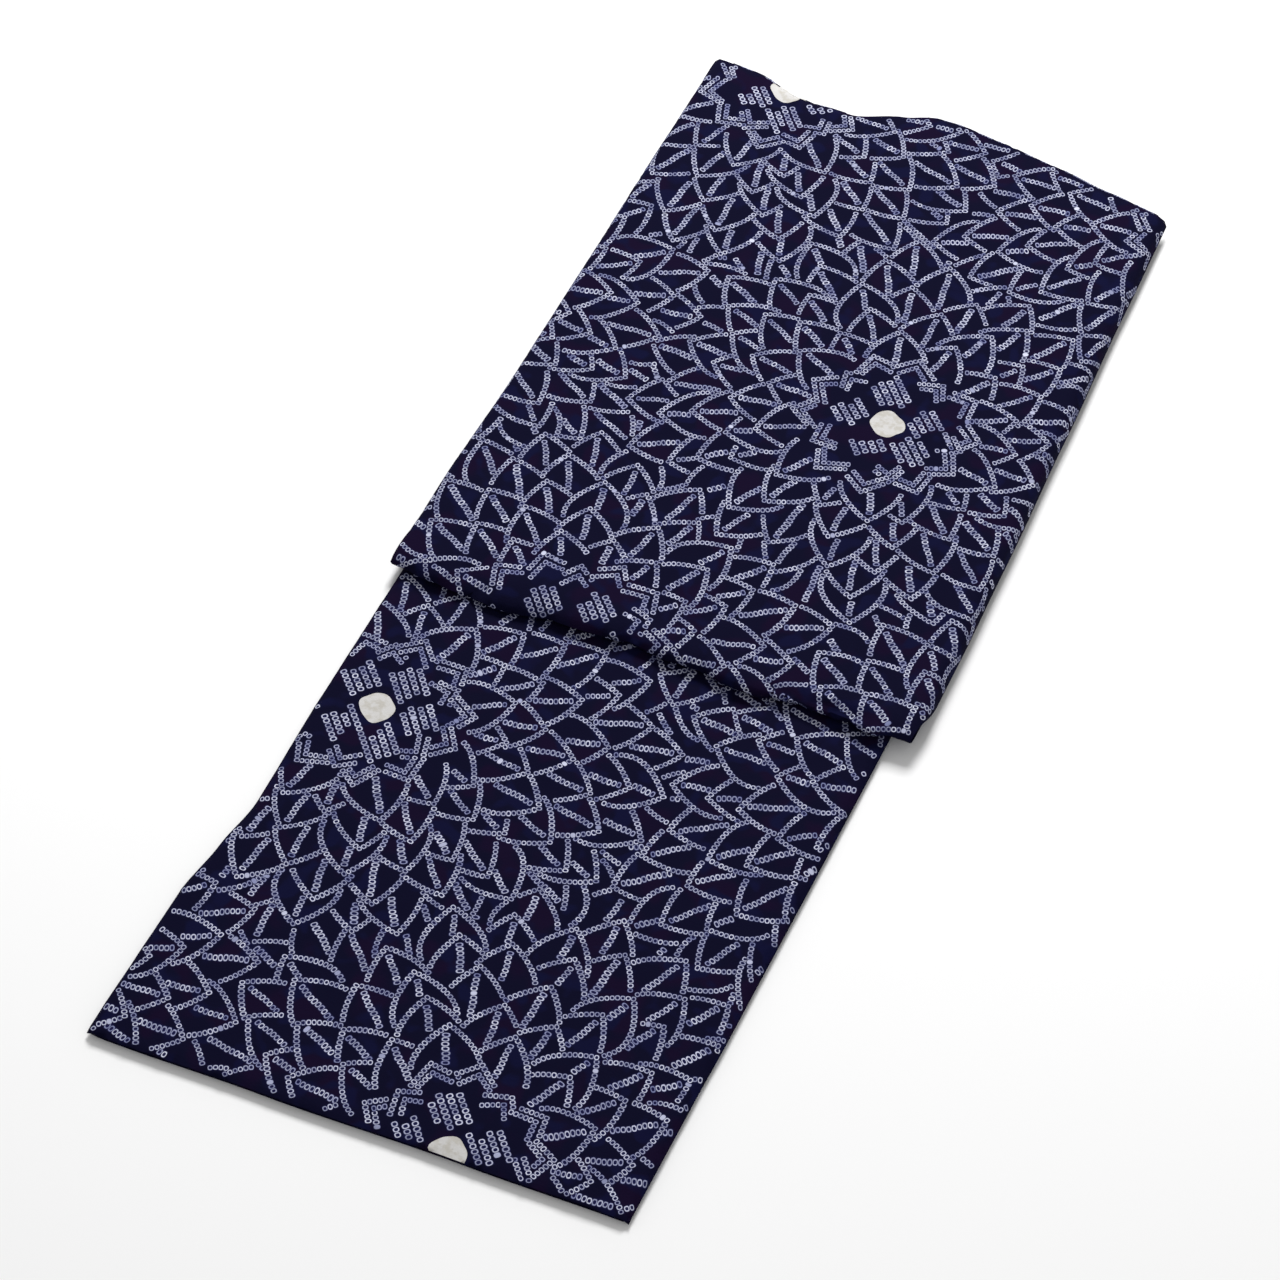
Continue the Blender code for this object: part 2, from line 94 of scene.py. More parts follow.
NOSE_CLEARANCE = 0.0045
HEM_EASE = 0.030
END_EASE = 0.012        # creases fade out so far before a cloth's end
TUCK_EASE = 0.04
TUCKED_EASE = 0.004
SIDE_EASE = 0.006       # and so far down a hanging side
DROOP_EASE = 0.030
CURL_END = 0.78
CURL_EASE = 0.06
SEAM_ROUND = 0.0042
PANEL_ROUND = 0.0040
SLEEVE_ROUND_LEFT = 0.0055
SLEEVE_ROUND_RIGHT = 0.0075
EDGE_PLACE = 0.160      # the tables are read no further out than this
EDGE_START = 0.362      # and the sleeve's sides no nearer than this
HEM_TURN = 0.0011       # radius of the turned hem
ROUND_STOPS = 15        # a quarter round is measured at so many turns


def table(names, *rows):
    """Keep a short table as named columns of numbers."""
    return dict(zip(names.split(), np.array(rows, dtype=float).T))


HEM_PART_EDGES = table(
    "along left right",
    (-0.014, -0.1710, 0.1598),
    (0.040, -0.1704, 0.1600),
    (0.096, -0.1698, 0.1603),
    (0.130, -0.1650, 0.1609),
    (0.166, -0.1599, 0.1609),
    (0.250, -0.1622, 0.1612),
    (0.360, -0.1628, 0.1612),
    (0.600, -0.1616, 0.1604),
    (0.871, -0.1612, 0.1560),
)
SLEEVE_EDGES = table(
    "along left right",
    (0.350, -0.1690, 0.1745),
    (0.372, -0.1692, 0.1760),
    (0.390, -0.1696, 0.1786),
    (0.440, -0.1704, 0.1780),
    (0.520, -0.1688, 0.1758),
    (0.634, -0.1699, 0.1716),
    (0.750, -0.1716, 0.1670),
    (0.871, -0.1722, 0.1633),
)
HEM_LINE = table(
    "across along", (-0.160, -0.0144), (-0.060, -0.0092), (0.060, -0.0026), (0.160, 0.0022)
)
FAR_LINE = table(
    "across along",
    (-0.170, 0.8620),
    (-0.139, 0.8598),
    (-0.108, 0.8496),
    (-0.064, 0.8488),
    (-0.034, 0.8612),
    (-0.012, 0.8698),
    (0.004, 0.8706),
    (0.034, 0.8668),
    (0.078, 0.8602),
    (0.120, 0.8524),
    (0.165, 0.8452),
)
SHOULDER_FOLD = table(
    "across along nose under over",
    (-0.170, 0.3605, 0.52, 0.008, 0.010),
    (-0.141, 0.3577, 0.48, 0.008, 0.012),
    (-0.118, 0.3548, 0.36, 0.006, 0.019),
    (-0.096, 0.3556, 0.26, 0.005, 0.026),
    (-0.072, 0.3590, 0.30, 0.005, 0.023),
    (-0.050, 0.3606, 0.45, 0.007, 0.015),
    (-0.027, 0.3622, 0.55, 0.009, 0.012),
    (-0.001, 0.3635, 0.42, 0.007, 0.015),
    (0.026, 0.3625, 0.50, 0.008, 0.013),
    (0.054, 0.3600, 0.56, 0.010, 0.012),
    (0.079, 0.3590, 0.52, 0.009, 0.013),
    (0.105, 0.3636, 0.66, 0.013, 0.013),
    (0.131, 0.3625, 0.70, 0.015, 0.012),
    (0.152, 0.3605, 0.64, 0.012, 0.011),
    (0.165, 0.3676, 0.55, 0.010, 0.010),
    (0.179, 0.3775, 0.50, 0.008, 0.009),
)

# %% [markdown]
# ## Creases
#
# A folded robe keeps soft troughs and ridges from its last folding, and small puckers
# where the cloth was tied. Cloth simulation would give other creases than the ones in
# view, so each crease is given one by one: its middle, heading, length, width, bend and
# rise. The folds are those of the solids. The creases are finer and lie on the cloth
# alone, and the pinches pull the shoulder fold's front line in and out a little.

# %%
SLEEVE_FOLDS = table(
    "across along heading length width rise",
    (-0.112, 0.385, 62, 0.090, 0.016, -0.0016),
    (-0.062, 0.400, 78, 0.120, 0.022, 0.0012),
    (-0.002, 0.380, 96, 0.070, 0.012, -0.0014),
    (0.026, 0.384, 84, 0.060, 0.010, -0.0010),
    (0.080, 0.386, 104, 0.080, 0.013, -0.0015),
    (0.118, 0.420, 90, 0.110, 0.024, 0.0012),
    (0.020, 0.560, 72, 0.210, 0.034, -0.0010),
    (-0.110, 0.640, 84, 0.200, 0.030, 0.0009),
    (0.110, 0.690, 97, 0.190, 0.030, -0.0009),
    (-0.098, 0.821, 80, 0.080, 0.026, -0.0018),
    (-0.012, 0.828, 95, 0.080, 0.024, 0.0010),
    (0.060, 0.809, 20, 0.120, 0.022, -0.0008),
)
HEM_FOLDS = table(
    "across along heading length width rise",
    (-0.120, 0.130, 58, 0.120, 0.020, -0.0007),
    (-0.030, 0.200, 82, 0.260, 0.034, 0.0005),
    (0.060, 0.240, 96, 0.220, 0.030, -0.0006),
    (0.120, 0.100, 88, 0.160, 0.028, 0.0004),
    (-0.090, 0.310, 70, 0.100, 0.018, -0.0006),
    (0.020, 0.050, 12, 0.200, 0.024, -0.0004),
)
SLEEVE_CREASES = table(
    "across along heading length width bend rise",
    (-0.140, 0.376, 48, 0.050, 0.0080, 0.6, 0.0007),
    (-0.122, 0.372, 70, 0.040, 0.0060, -0.4, -0.0008),
    (-0.090, 0.372, 58, 0.046, 0.0070, 0.5, 0.0008),
    (-0.074, 0.380, 88, 0.052, 0.0065, -0.3, -0.0007),
    (-0.040, 0.374, 76, 0.036, 0.0060, 0.4, 0.0006),
    (-0.018, 0.378, 104, 0.046, 0.0070, 0.5, 0.0008),
    (0.013, 0.373, 92, 0.034, 0.0055, -0.5, 0.0007),
    (0.044, 0.378, 70, 0.048, 0.0065, 0.3, -0.0007),
    (0.064, 0.372, 112, 0.040, 0.0060, -0.4, 0.0008),
    (0.098, 0.374, 84, 0.042, 0.0070, 0.5, -0.0007),
    (0.124, 0.382, 64, 0.056, 0.0080, -0.6, 0.0009),
    (0.150, 0.386, 98, 0.050, 0.0075, 0.3, -0.0008),
    (0.124, 0.3655, 2, 0.074, 0.0080, 0.5, -0.0026),
    (0.136, 0.3755, 8, 0.064, 0.0075, 0.4, 0.0014),
    (0.086, 0.3672, 168, 0.040, 0.0055, -0.4, -0.0010),
    (-0.110, 0.3600, 14, 0.030, 0.0060, 0.5, -0.0014),
    (-0.134, 0.3690, 24, 0.040, 0.0065, -0.3, -0.0010),
    (-0.146, 0.470, 96, 0.110, 0.010, 0.3, -0.0006),
    (0.154, 0.480, 84, 0.140, 0.011, -0.2, -0.0007),
    (-0.070, 0.520, 40, 0.090, 0.009, 0.4, 0.0005),
    (0.056, 0.470, 118, 0.080, 0.009, -0.5, -0.0005),
    (0.128, 0.590, 74, 0.100, 0.010, 0.4, 0.0005),
    (-0.020, 0.650, 104, 0.120, 0.011, -0.3, -0.0005),
    (-0.142, 0.720, 80, 0.110, 0.010, 0.3, -0.0006),
    (0.030, 0.740, 62, 0.090, 0.009, 0.5, 0.0005),
    (-0.060, 0.770, 112, 0.080, 0.010, -0.4, 0.0006),
    (0.142, 0.790, 92, 0.090, 0.010, 0.3, -0.0005),
    (-0.088, 0.832, 62, 0.050, 0.008, 0.5, 0.0008),
    (-0.116, 0.824, 100, 0.050, 0.008, -0.4, -0.0007),
    (0.010, 0.842, 88, 0.044, 0.009, 0.3, -0.0006),
)
HEM_CREASES = table(
    "across along heading length width bend rise",
    (-0.138, 0.176, 64, 0.070, 0.008, 0.5, 0.0005),
    (-0.146, 0.110, 78, 0.060, 0.007, -0.4, -0.0005),
    (-0.100, 0.050, 30, 0.090, 0.009, 0.3, 0.0004),
    (-0.020, 0.110, 100, 0.110, 0.010, -0.4, -0.0004),
    (0.040, 0.160, 66, 0.100, 0.009, 0.4, 0.0004),
    (0.096, 0.200, 110, 0.090, 0.010, -0.3, -0.0004),
    (0.130, 0.290, 80, 0.110, 0.010, 0.2, 0.0004),
    (-0.060, 0.260, 50, 0.090, 0.009, 0.5, -0.0004),
    (0.010, 0.320, 92, 0.070, 0.008, -0.4, 0.0005),
    (0.070, 0.040, 84, 0.070, 0.009, 0.3, -0.0004),
    (0.140, 0.050, 60, 0.080, 0.009, -0.3, 0.0004),
)
FOLD_PINCHES = table(
    "across width pull",
    (-0.146, 0.012, -0.0012),
    (-0.114, 0.010, 0.0030),
    (-0.086, 0.014, -0.0014),
    (-0.061, 0.009, 0.0016),
    (-0.036, 0.012, -0.0010),
    (-0.010, 0.008, 0.0020),
    (0.014, 0.010, -0.0012),
    (0.041, 0.009, 0.0018),
    (0.063, 0.012, -0.0013),
    (0.086, 0.008, 0.0024),
    (0.112, 0.011, -0.0012),
    (0.137, 0.009, 0.0015),
)
PUCKERS = table(
    "heading wavelength phase rise",
    (14, 0.0150, 0.4, 0.00005),
    (71, 0.0113, 2.1, 0.00005),
    (118, 0.0187, 4.0, 0.00006),
    (163, 0.0094, 1.2, 0.00004),
    (42, 0.0270, 5.1, 0.00008),
    (97, 0.0390, 3.3, 0.00010),
)
FOLD_FALL = 1.6         # how fast a fold fades towards its rim
PUCKER_SWAY = 1.3       # how far the waves sway to and fro along their crests
PUCKER_BEND = 0.37      # and how quickly


def smooth(value):
    """Ease from 0 to 1."""
    value = np.clip(value, 0.0, 1.0)
    return value * value * (3.0 - 2.0 * value)


def read(rows, key, column, at):
    """Read a column of a table between its rows, with the soft bends of the solids."""
    keys, values = rows[key], rows[column]
    at = np.clip(at, keys[0], keys[-1])
    high = np.clip(np.searchsorted(keys, at), 1, len(keys) - 1)
    share = (at - keys[high - 1]) / (keys[high] - keys[high - 1])
    share = 0.5 * share + 0.5 * smooth(share)
    return values[high - 1] * (1.0 - share) + values[high] * share


def hem_line(x):
    """Place of the hem along the robe."""
    return read(HEM_LINE, "across", "along", x)


def far_line(x):
    """Place of the far fold along the robe."""
    return read(FAR_LINE, "across", "along", x)


def panel_edge(side, y):
    """Place of a side of the hem part across the robe."""
    return read(HEM_PART_EDGES, "along", side, y)


def sleeve_edge(side, y):
    """Place of a side of the turned part across the robe."""
    return read(SLEEVE_EDGES, "along", side, y)


def folded_height(folds, x, y):
    """Sum soft troughs and ridges at points of the cloth."""
    total = np.zeros(np.broadcast(x, y).shape)
    bends = folds.get("bend", np.zeros(len(folds["rise"])))
    for row in range(len(folds["rise"])):
        turn = math.radians(folds["heading"][row])
        dx, dy = x - folds["across"][row], y - folds["along"][row]
        half_length, half_width = 0.5 * folds["length"][row], 0.5 * folds["width"][row]
        run = (dx * math.cos(turn) + dy * math.sin(turn)) / half_length
        side = dy * math.cos(turn) - dx * math.sin(turn) - bends[row] * half_width * run**2
        fall = np.exp(-FOLD_FALL * (run**2 + (side / half_width) ** 2))
        total += folds["rise"][row] * fall
    return total


def puckers(x, y):
    """Small uneven waves, as cloth keeps where it was tied."""
    total = np.zeros(np.broadcast(x, y).shape)
    for heading, wavelength, phase, rise in zip(*PUCKERS.values()):
        turn = math.radians(heading)
        run = x * math.cos(turn) + y * math.sin(turn)
        side = y * math.cos(turn) - x * math.sin(turn)
        sway = PUCKER_SWAY * np.sin(PUCKER_BEND * side / wavelength + phase)
        total += rise * np.sin(2.0 * math.pi * run / wavelength + phase + sway)
    return total


print("folds:", len(SLEEVE_FOLDS["rise"]) + len(HEM_FOLDS["rise"]))
print("creases:", len(SLEEVE_CREASES["rise"]) + len(HEM_CREASES["rise"]))

# %% [markdown]
# ## Heights of the bundle
#
# Two functions give the upper face of the hem part and of the turned part. The shoulder
# fold is two quarter rounds: one from its lowest line up to the nose, and one from the
# nose up to the top. Cloth coordinates are kept in true lengths along the cloth, so a
# round is walked by its arc length, and the print isn't stretched on it.

# %%
def lower_top(x, y):
    """Height of the hem part's upper face."""
    fade = smooth((y - hem_line(x)) / HEM_EASE)
    return LOWER_TOP - HEM_DROP * (1.0 - fade) + fade * folded_height(HEM_FOLDS, x, y)


def upper_top(x, y):
    """Height of the turned part's upper face behind the shoulder fold's round."""
    far = far_line(x)
    slope = FAR_SLOPE * smooth((y - PANEL_TUCK) / (far - PANEL_TUCK))
    end_drop = FAR_DROP * smooth(1.0 + (y - far) / FAR_EASE)
    return UPPER_TOP - slope - end_drop + folded_height(SLEEVE_FOLDS, x, y)


def shoulder_fold(x):
    """Front line, nose height, top height and the two depths of the shoulder fold."""
    front, share, under, over = (
        read(SHOULDER_FOLD, "across", column, x) for column in ("along", "nose", "under", "over")
    )
    low = LOWER_TOP + SEAM_GAP
    high = upper_top(x, front + over)
    for middle, width, pull in zip(*FOLD_PINCHES.values()):
        front = front + pull * np.exp(-((x - middle) ** 2) / (0.5 * width) ** 2)
    return front, low + share * (high - low), high, under, over


def walk_round(depth, height, run):
    """Turn reached at an arc length from the flat end of a quarter round, and its length."""
    turns = np.linspace(0.0, 0.5 * math.pi, ROUND_STOPS)
    depth, height, run = np.broadcast_arrays(depth, height, run)
    out = depth[..., None] * np.sin(turns)
    down = height[..., None] * np.cos(turns)
    steps = np.hypot(np.diff(out), np.diff(down))
    lengths = np.concatenate([np.zeros(run.shape + (1,)), np.cumsum(steps, axis=-1)], axis=-1)
    low = np.clip((lengths < run[..., None]).sum(axis=-1) - 1, 0, len(turns) - 2)
    start = np.take_along_axis(lengths, low[..., None], -1)[..., 0]
    step = np.take_along_axis(steps, low[..., None], -1)[..., 0]
    share = np.clip((run - start) / step, 0.0, 1.0)
    return turns[low] + share * turns[1], lengths[..., -1]


def across_round(a, left, right, left_round, right_round, left_drop, right_drop):
    """Place across the robe and drop, for cloth that turns down at both sides."""
    left_start, right_start = left + left_round, right - right_round
    left_turn, _ = walk_round(left_round, left_drop, np.maximum(0.0, left_start - a))
    right_turn, _ = walk_round(right_round, right_drop, np.maximum(0.0, a - right_start))
    x = np.where(a < left_start, left_start - left_round * np.sin(left_turn), a)
    x = np.where(a > right_start, right_start + right_round * np.sin(right_turn), x)
    drop = left_drop * (1.0 - np.cos(left_turn)) + right_drop * (1.0 - np.cos(right_turn))
    return x, drop


def round_length(depth, height):
    """Arc length of a quarter round."""
    return walk_round(depth, height, np.zeros(np.broadcast(depth, height).shape))[1]


print("top at the middle in mm:", round(1000.0 * float(upper_top(0.0, 0.6)), 2))

# %% [markdown]
# ## The pattern
#
# The cloth is dyed dark blue and keeps pale rings where it was tied. The rings run in
# chains that draw overlapping rows of petals round a pale spot, with basket blocks and
# double chevrons next to the spot. A picture of the print isn't used. The petals are
# laid out row by row from each flower's middle, and a petal hides what lies behind it.
# Each ring is placed as its own small patch of the mesh, so it stays crisp, and no two
# flowers come out alike.

# %%
RING_PITCH = 0.00305
RING_MIN = 0.0025       # rings closer than this would run together
OUTLINE_RING = 0.0037   # widths of the rings across their chains
MIDRIB_RING = 0.0046
BLOCK_RING = 0.0043
RING_INSET = 0.0030     # bare ground between a ring's middle and the cloth's border
CROWD_STEP = 0.0042     # a ring with another so far beside it lies in a crowd
CROWD_REACH = 0.0029
CROWD_TINT = 0.55       # crowded rings keep more blue
FULL_SHARE = 0.008      # share of the rings that are pale all over
PETAL = 0.058           # length of a petal, half of it below other petals
PETAL_PITCH = 0.0360
PETAL_HALF = 0.53 * PETAL_PITCH
PETAL_BEND = 0.90       # below 1 a petal is fuller than a sine wave
PETAL_REACH = 0.060     # petals further apart than this don't hide each other
PETAL_WALK = (1.0, 0.05, 40)    # shares of its length, from its tip to near its base
PETAL_WAIST = 0.006     # a row's petals are counted this far inside its tips
FIRST_TIPS = 0.0825
ROW_STEP = 0.0205
ROWS = 8
MIDDLE = 0.058          # petal outlines start outside this radius
MIDRIB_START = 0.0485   # and midribs outside this one, between the chevrons
MIDRIB_GAP = 0.0066     # bare ground between a midrib and its petal's tip
MIDRIB_SWAY = 0.0003
SHORTEST_MIDRIB = 0.014
SHORTEST = 4            # an outline shows from this many rings on
OVERLAP = 0.0021        # an outline stops this far before the petal that covers it
SPOT_LONG = 0.0108      # half lengths of a pale spot
SPOT_WIDE = 0.0100
SPOT_POINTS = 36
SPOT_POWER = 2.8        # 2 would be an ellipse, more is squarer
SPOT_HEADING = -38.0
SPOT_CLEAR = 0.0143     # rings stand at least this far from its middle
SPOT_BEYOND = 0.012     # it shows if its middle lies at most this far past the border
BLOCK_HEADING = -48.0
CHAIN_GAP = 0.0056
BLOCK_PITCH = 0.0036    # rings stand a little wider in the blocks
BLOCKS = (
    table(
        "heading radius chains rings",
        (180, 0.0256, 4, 6),
        (108, 0.0266, 4, 6),
        (27, 0.0232, 4, 6),
        (-35, 0.0268, 4, 6),
        (-100, 0.0228, 4, 5),
    ),
    table(
        "heading radius chains rings",
        (140, 0.0242, 4, 6),
        (70, 0.0264, 4, 6),
        (6, 0.0268, 4, 5),
        (-60, 0.0278, 4, 6),
        (-127, 0.0234, 4, 5),
    ),
)
GAP_CHEVRON = 0.0492    # radius of the double chevron in each gap between two blocks
SIDE_CHEVRON = 0.0592   # radius of the ones at both sides of each block
SIDE_TURN = 14.0        # and their heading from the block's
CHEVRON_STEP = 0.0066   # distance between the two lines of a chevron
CHEVRON_LEG = 47.0      # angle of its legs from its axis


def step_from(a, v, heading, run, side=0.0):
    """Place reached by a run along a heading and a step to its left."""
    cos, sin = math.cos(heading), math.sin(heading)
    return a + run * cos - side * sin, v + run * sin + side * cos


class Print:
    """The rings and pale spots of one cloth, placed in cloth coordinates."""

    def __init__(self, border, seed):
        self.border = border
        self.dice = random.Random(seed)
        self.rings = []
        self.spots = []
        self.taken = {}

    def near(self, a, v, reach):
        """Tell whether a ring lies within reach of a place."""
        cell = (int(a // RING_PITCH), int(v // RING_PITCH))
        for i in (-1, 0, 1):
            for j in (-1, 0, 1):
                for b, w in self.taken.get((cell[0] + i, cell[1] + j), ()):
                    if (a - b) ** 2 + (v - w) ** 2 < reach**2:
                        return True
        return False

    def ring(self, a, v, heading, along, across):
        """Add a ring, if it lies on the cloth and clear of the others."""
        if not self.border(a, v, RING_INSET) or self.near(a, v, RING_MIN):
            return
        dice = self.dice
        self.taken.setdefault((int(a // RING_PITCH), int(v // RING_PITCH)), []).append((a, v))
        crowded = self.near(*step_from(a, v, heading + 0.5 * math.pi, CROWD_STEP), CROWD_REACH)
        turned = heading + dice.uniform(-0.12, 0.12)
        size = along * dice.uniform(0.94, 1.03), across * dice.uniform(0.90, 1.08)
        tone = dice.uniform(0.0, 1.0)
        tint = CROWD_TINT if crowded else dice.uniform(0.0, 0.25)
        full = 1.0 if dice.random() < FULL_SHARE else 0.0
        self.rings.append((a, v, turned, *size, tone, tint, full))

    def chain(self, a, v, heading, count, across, sway=0.0):
        """Add a straight chain of rings from one end."""
        for step in range(count):
            place = step_from(a, v, heading, step * RING_PITCH, sway * math.sin(1.1 * step))
            self.ring(*place, heading, RING_PITCH, across)


def petal_width(share):
    """Half width of a petal, as a share of its widest, from base 0 to tip 1."""
    return np.sin(math.pi * np.clip(share, 0.0, 1.0)) ** PETAL_BEND


def chevron_places(layout, turn):
    """Headings, radii and rings of a flower's double chevrons, in order round its spot."""
    blocks = np.sort(BLOCKS[int(layout)]["heading"] + turn)
    gaps = blocks + 0.5 * np.diff(np.append(blocks, blocks[0] + 360.0))
    places = [(heading, GAP_CHEVRON, 5) for heading in gaps]
    for side in (-SIDE_TURN, SIDE_TURN):
        places += [(heading + side, SIDE_CHEVRON, 6) for heading in blocks]
    return sorted(places)


def petal_rows(first_row, dice):
    """Headings of each row of petals: a row stands in the gaps of the row inside it."""
    headings = first_row
    for row in range(ROWS):
        tips = FIRST_TIPS + ROW_STEP * row
        yield tips, headings + np.array([dice.uniform(-0.05, 0.05) for _ in headings])
        steps = np.diff(np.append(headings, headings[0] + 2.0 * math.pi))
        headings = headings + 0.5 * steps
        wanted = round(2.0 * math.pi * (tips + ROW_STEP - PETAL_WAIST) / PETAL_PITCH)
        while len(headings) < wanted:
            steps = np.diff(np.append(headings, headings[0] + 2.0 * math.pi))
            widest = int(np.argmax(steps + np.array([dice.uniform(0.0, 0.02) for _ in steps])))
            headings = np.insert(headings, widest + 1, headings[widest] + 0.5 * steps[widest])
            before, after = np.roll(headings, 1), np.roll(headings, -1)
            before[0] -= 2.0 * math.pi
            after[-1] += 2.0 * math.pi
            headings = 0.5 * headings + 0.25 * (before + after)


def list_petals(flowers, dice):
    """List the petals of all flowers, inner rows first: base, heading, length, half width."""
    petals = []
    for a, v, layout, turn, _, _ in zip(*flowers.values()):
        chevrons = np.radians([place[0] for place in chevron_places(layout, turn)])
        between = chevrons + 0.5 * np.diff(np.append(chevrons, chevrons[0] + 2.0 * math.pi))
        for tips, headings in petal_rows(between, dice):
            for heading in headings:
                tip = tips + dice.uniform(-0.0020, 0.0020)
                length = PETAL * dice.uniform(0.95, 1.06)
                lean = heading + dice.uniform(-0.07, 0.07)
                base = step_from(*step_from(a, v, heading, tip), lean, -length)
                half = PETAL_HALF * dice.uniform(0.96, 1.06)
                petals.append((tips + dice.uniform(-0.001, 0.001), *base, lean, length, half))
    petals.sort()
    return np.array(petals)


def hidden_by(petals, flowers, a, v, middle, margin):
    """Tell which points lie behind earlier petals or inside a flower's middle."""
    middles = np.hypot(a[:, None] - flowers["across"], v[:, None] - flowers["along"])
    hidden = (middles < middle * flowers["reach"]).any(axis=1)
    if len(petals):
        da, dv = a[:, None] - petals[:, 1], v[:, None] - petals[:, 2]
        cos, sin = np.cos(petals[:, 3]), np.sin(petals[:, 3])
        share = (da * cos + dv * sin) / petals[:, 4]
        side = np.abs(dv * cos - da * sin)
        behind = (share > 0.0) & (share < 1.0) & (side < petals[:, 5] * petal_width(share) + margin)
        hidden |= behind.any(axis=1)
    return hidden


def without_scraps(seen):
    """Leave out the runs of an outline that are too short to read as a line."""
    stops = np.concatenate([[-1], np.flatnonzero(~seen), [len(seen)]])
    for start, end in zip(stops[:-1], stops[1:]):
        if end - start - 1 < SHORTEST:
            seen[start + 1:end] = False
    return seen


def draw_petals(cloth, flowers):
    """Draw the outline and midrib of each petal as far as it shows."""
    petals = list_petals(flowers, cloth.dice)
    walk = np.linspace(*PETAL_WALK)
    headings = np.stack([np.cos(petals[:, 3]), np.sin(petals[:, 3])], 1)
    middles = petals[:, 1:3] + 0.5 * petals[:, 4:5] * headings
    for number, (_, a, v, heading, length, half) in enumerate(petals):
        if not cloth.border(*middles[number], -0.5 * PETAL_REACH):
            continue
        close = np.hypot(*(middles[:number] - middles[number]).T) < PETAL_REACH
        before = petals[:number][close]
        for side in (1.0, -1.0):
            run, out = walk * length, side * half * petal_width(walk)
            lengths = np.concatenate([[0.0], np.cumsum(np.hypot(np.diff(run), np.diff(out)))])
            places = np.arange(0.0 if side > 0 else RING_PITCH, lengths[-1], RING_PITCH)
            run, out = np.interp(places, lengths, run), np.interp(places, lengths, out)
            pa, pv = step_from(a, v, heading, run, out)
            seen = without_scraps(~hidden_by(before, flowers, pa, pv, MIDDLE, OVERLAP))
            slopes = heading + np.arctan2(np.gradient(out), np.gradient(run))
            across = OUTLINE_RING * cloth.dice.uniform(0.93, 1.08)
            for b, w, slope in zip(pa[seen], pv[seen], slopes[seen]):
                cloth.ring(b, w, slope, RING_PITCH, across)
        run = np.linspace(0.0, 1.0, 51) * length
        hidden = hidden_by(before, flowers, *step_from(a, v, heading, run), MIDRIB_START, 0.0)
        stops = np.concatenate([[0], np.flatnonzero(hidden), [len(run) - 1]])
        longest = int(np.argmax(np.diff(stops)))
        end = run[stops[longest + 1]]
        visible = end - run[stops[longest]]
        if visible < SHORTEST_MIDRIB:
            continue
        count = int((visible - MIDRIB_GAP) // RING_PITCH) + 1
        first = end - MIDRIB_GAP - (count - 1) * RING_PITCH
        across = MIDRIB_RING * cloth.dice.uniform(0.88, 1.10)
        lean = heading + cloth.dice.uniform(-0.06, 0.06)
        cloth.chain(*step_from(a, v, heading, first), lean, count, across, MIDRIB_SWAY)


def draw_middle(cloth, a, v, layout, turn, reach, spot):
    """Draw a flower's pale spot, its basket blocks and its double chevrons."""
    dice = cloth.dice
    if spot and cloth.border(a, v, -SPOT_BEYOND):
        lay = math.radians(SPOT_HEADING + dice.uniform(-7.0, 7.0))
        cloth.spots.append((a, v, lay, dice.uniform(0.0, 6.0)))
    for heading, radius, chains, rings in zip(*BLOCKS[int(layout)].values()):
        middle = step_from(a, v, math.radians(heading + turn), reach * radius)
        lay = math.radians(BLOCK_HEADING + dice.uniform(-4.0, 4.0))
        for chain in range(int(chains)):
            count = int(rings) + dice.choice((-2, -1, 0, 0, 1))
            side = (chain - 0.5 * (chains - 1)) * CHAIN_GAP
            back = -0.5 * (count - 1) * BLOCK_PITCH + dice.uniform(-0.002, 0.002)
            for step in range(count):
                place = step_from(*middle, lay, back + step * BLOCK_PITCH, side)
                if math.dist(place, (a, v)) > SPOT_CLEAR or not spot:
                    cloth.ring(*place, lay, BLOCK_PITCH, BLOCK_RING)
    for heading, radius, count in chevron_places(layout, turn):
        out = math.radians(heading + dice.uniform(-3.0, 3.0))
        radius += dice.uniform(-0.002, 0.002)
        for tip, rings in ((radius, count), (radius - CHEVRON_STEP, count - 1)):
            corner = step_from(a, v, out, reach * tip)
            for side in (1.0, -1.0):
                leg = out + math.pi + side * math.radians(CHEVRON_LEG + dice.uniform(-5.0, 5.0))
                cloth.chain(*corner, leg, rings + dice.choice((0, 0, 1)), OUTLINE_RING)


def print_cloth(border, flowers, seed):
    """Lay out the whole print of one cloth."""
    cloth = Print(border, seed)
    for flower in zip(*flowers.values()):
        draw_middle(cloth, *flower)
    draw_petals(cloth, flowers)
    return cloth


# %% [markdown]
# ## From the print to a mesh
#
# A cloth is first a flat sheet in true lengths. Its border, an even field of points and
# every ring are joined into one triangle mesh, and only then is each point moved to its
# place on the bundle. An unwrapped grid with a texture would blur the rings, and loose
# rings laid on the cloth would float over its creases.

# %%
GRID_STEP = 0.0052
GRID_ROW = 0.86 * GRID_STEP
GRID_INSET = 0.0022     # grid points keep this far from the border
GRID_CLEAR = 0.0028     # and this far from the middle of a ring
RING_MARGIN = 1.10      # a ring's patch is this much wider than the ring
NO_RING = 4.0           # a place this many half widths from a ring is bare ground
SHARP_EDGE = math.radians(50.0)
SAME_POINT = 1e-7       # points closer than this are joined
BORDER_STEP = 0.005     # distance between the points of a border
WIDTH_PLACE = 0.3       # place along the robe where a cloth's width is read for them
BORDER_ROWS = (-0.06, 1.10, 400)
BORDER_COLUMNS = (-0.20, 0.21, 200)
HELD_INSET = 0.0003


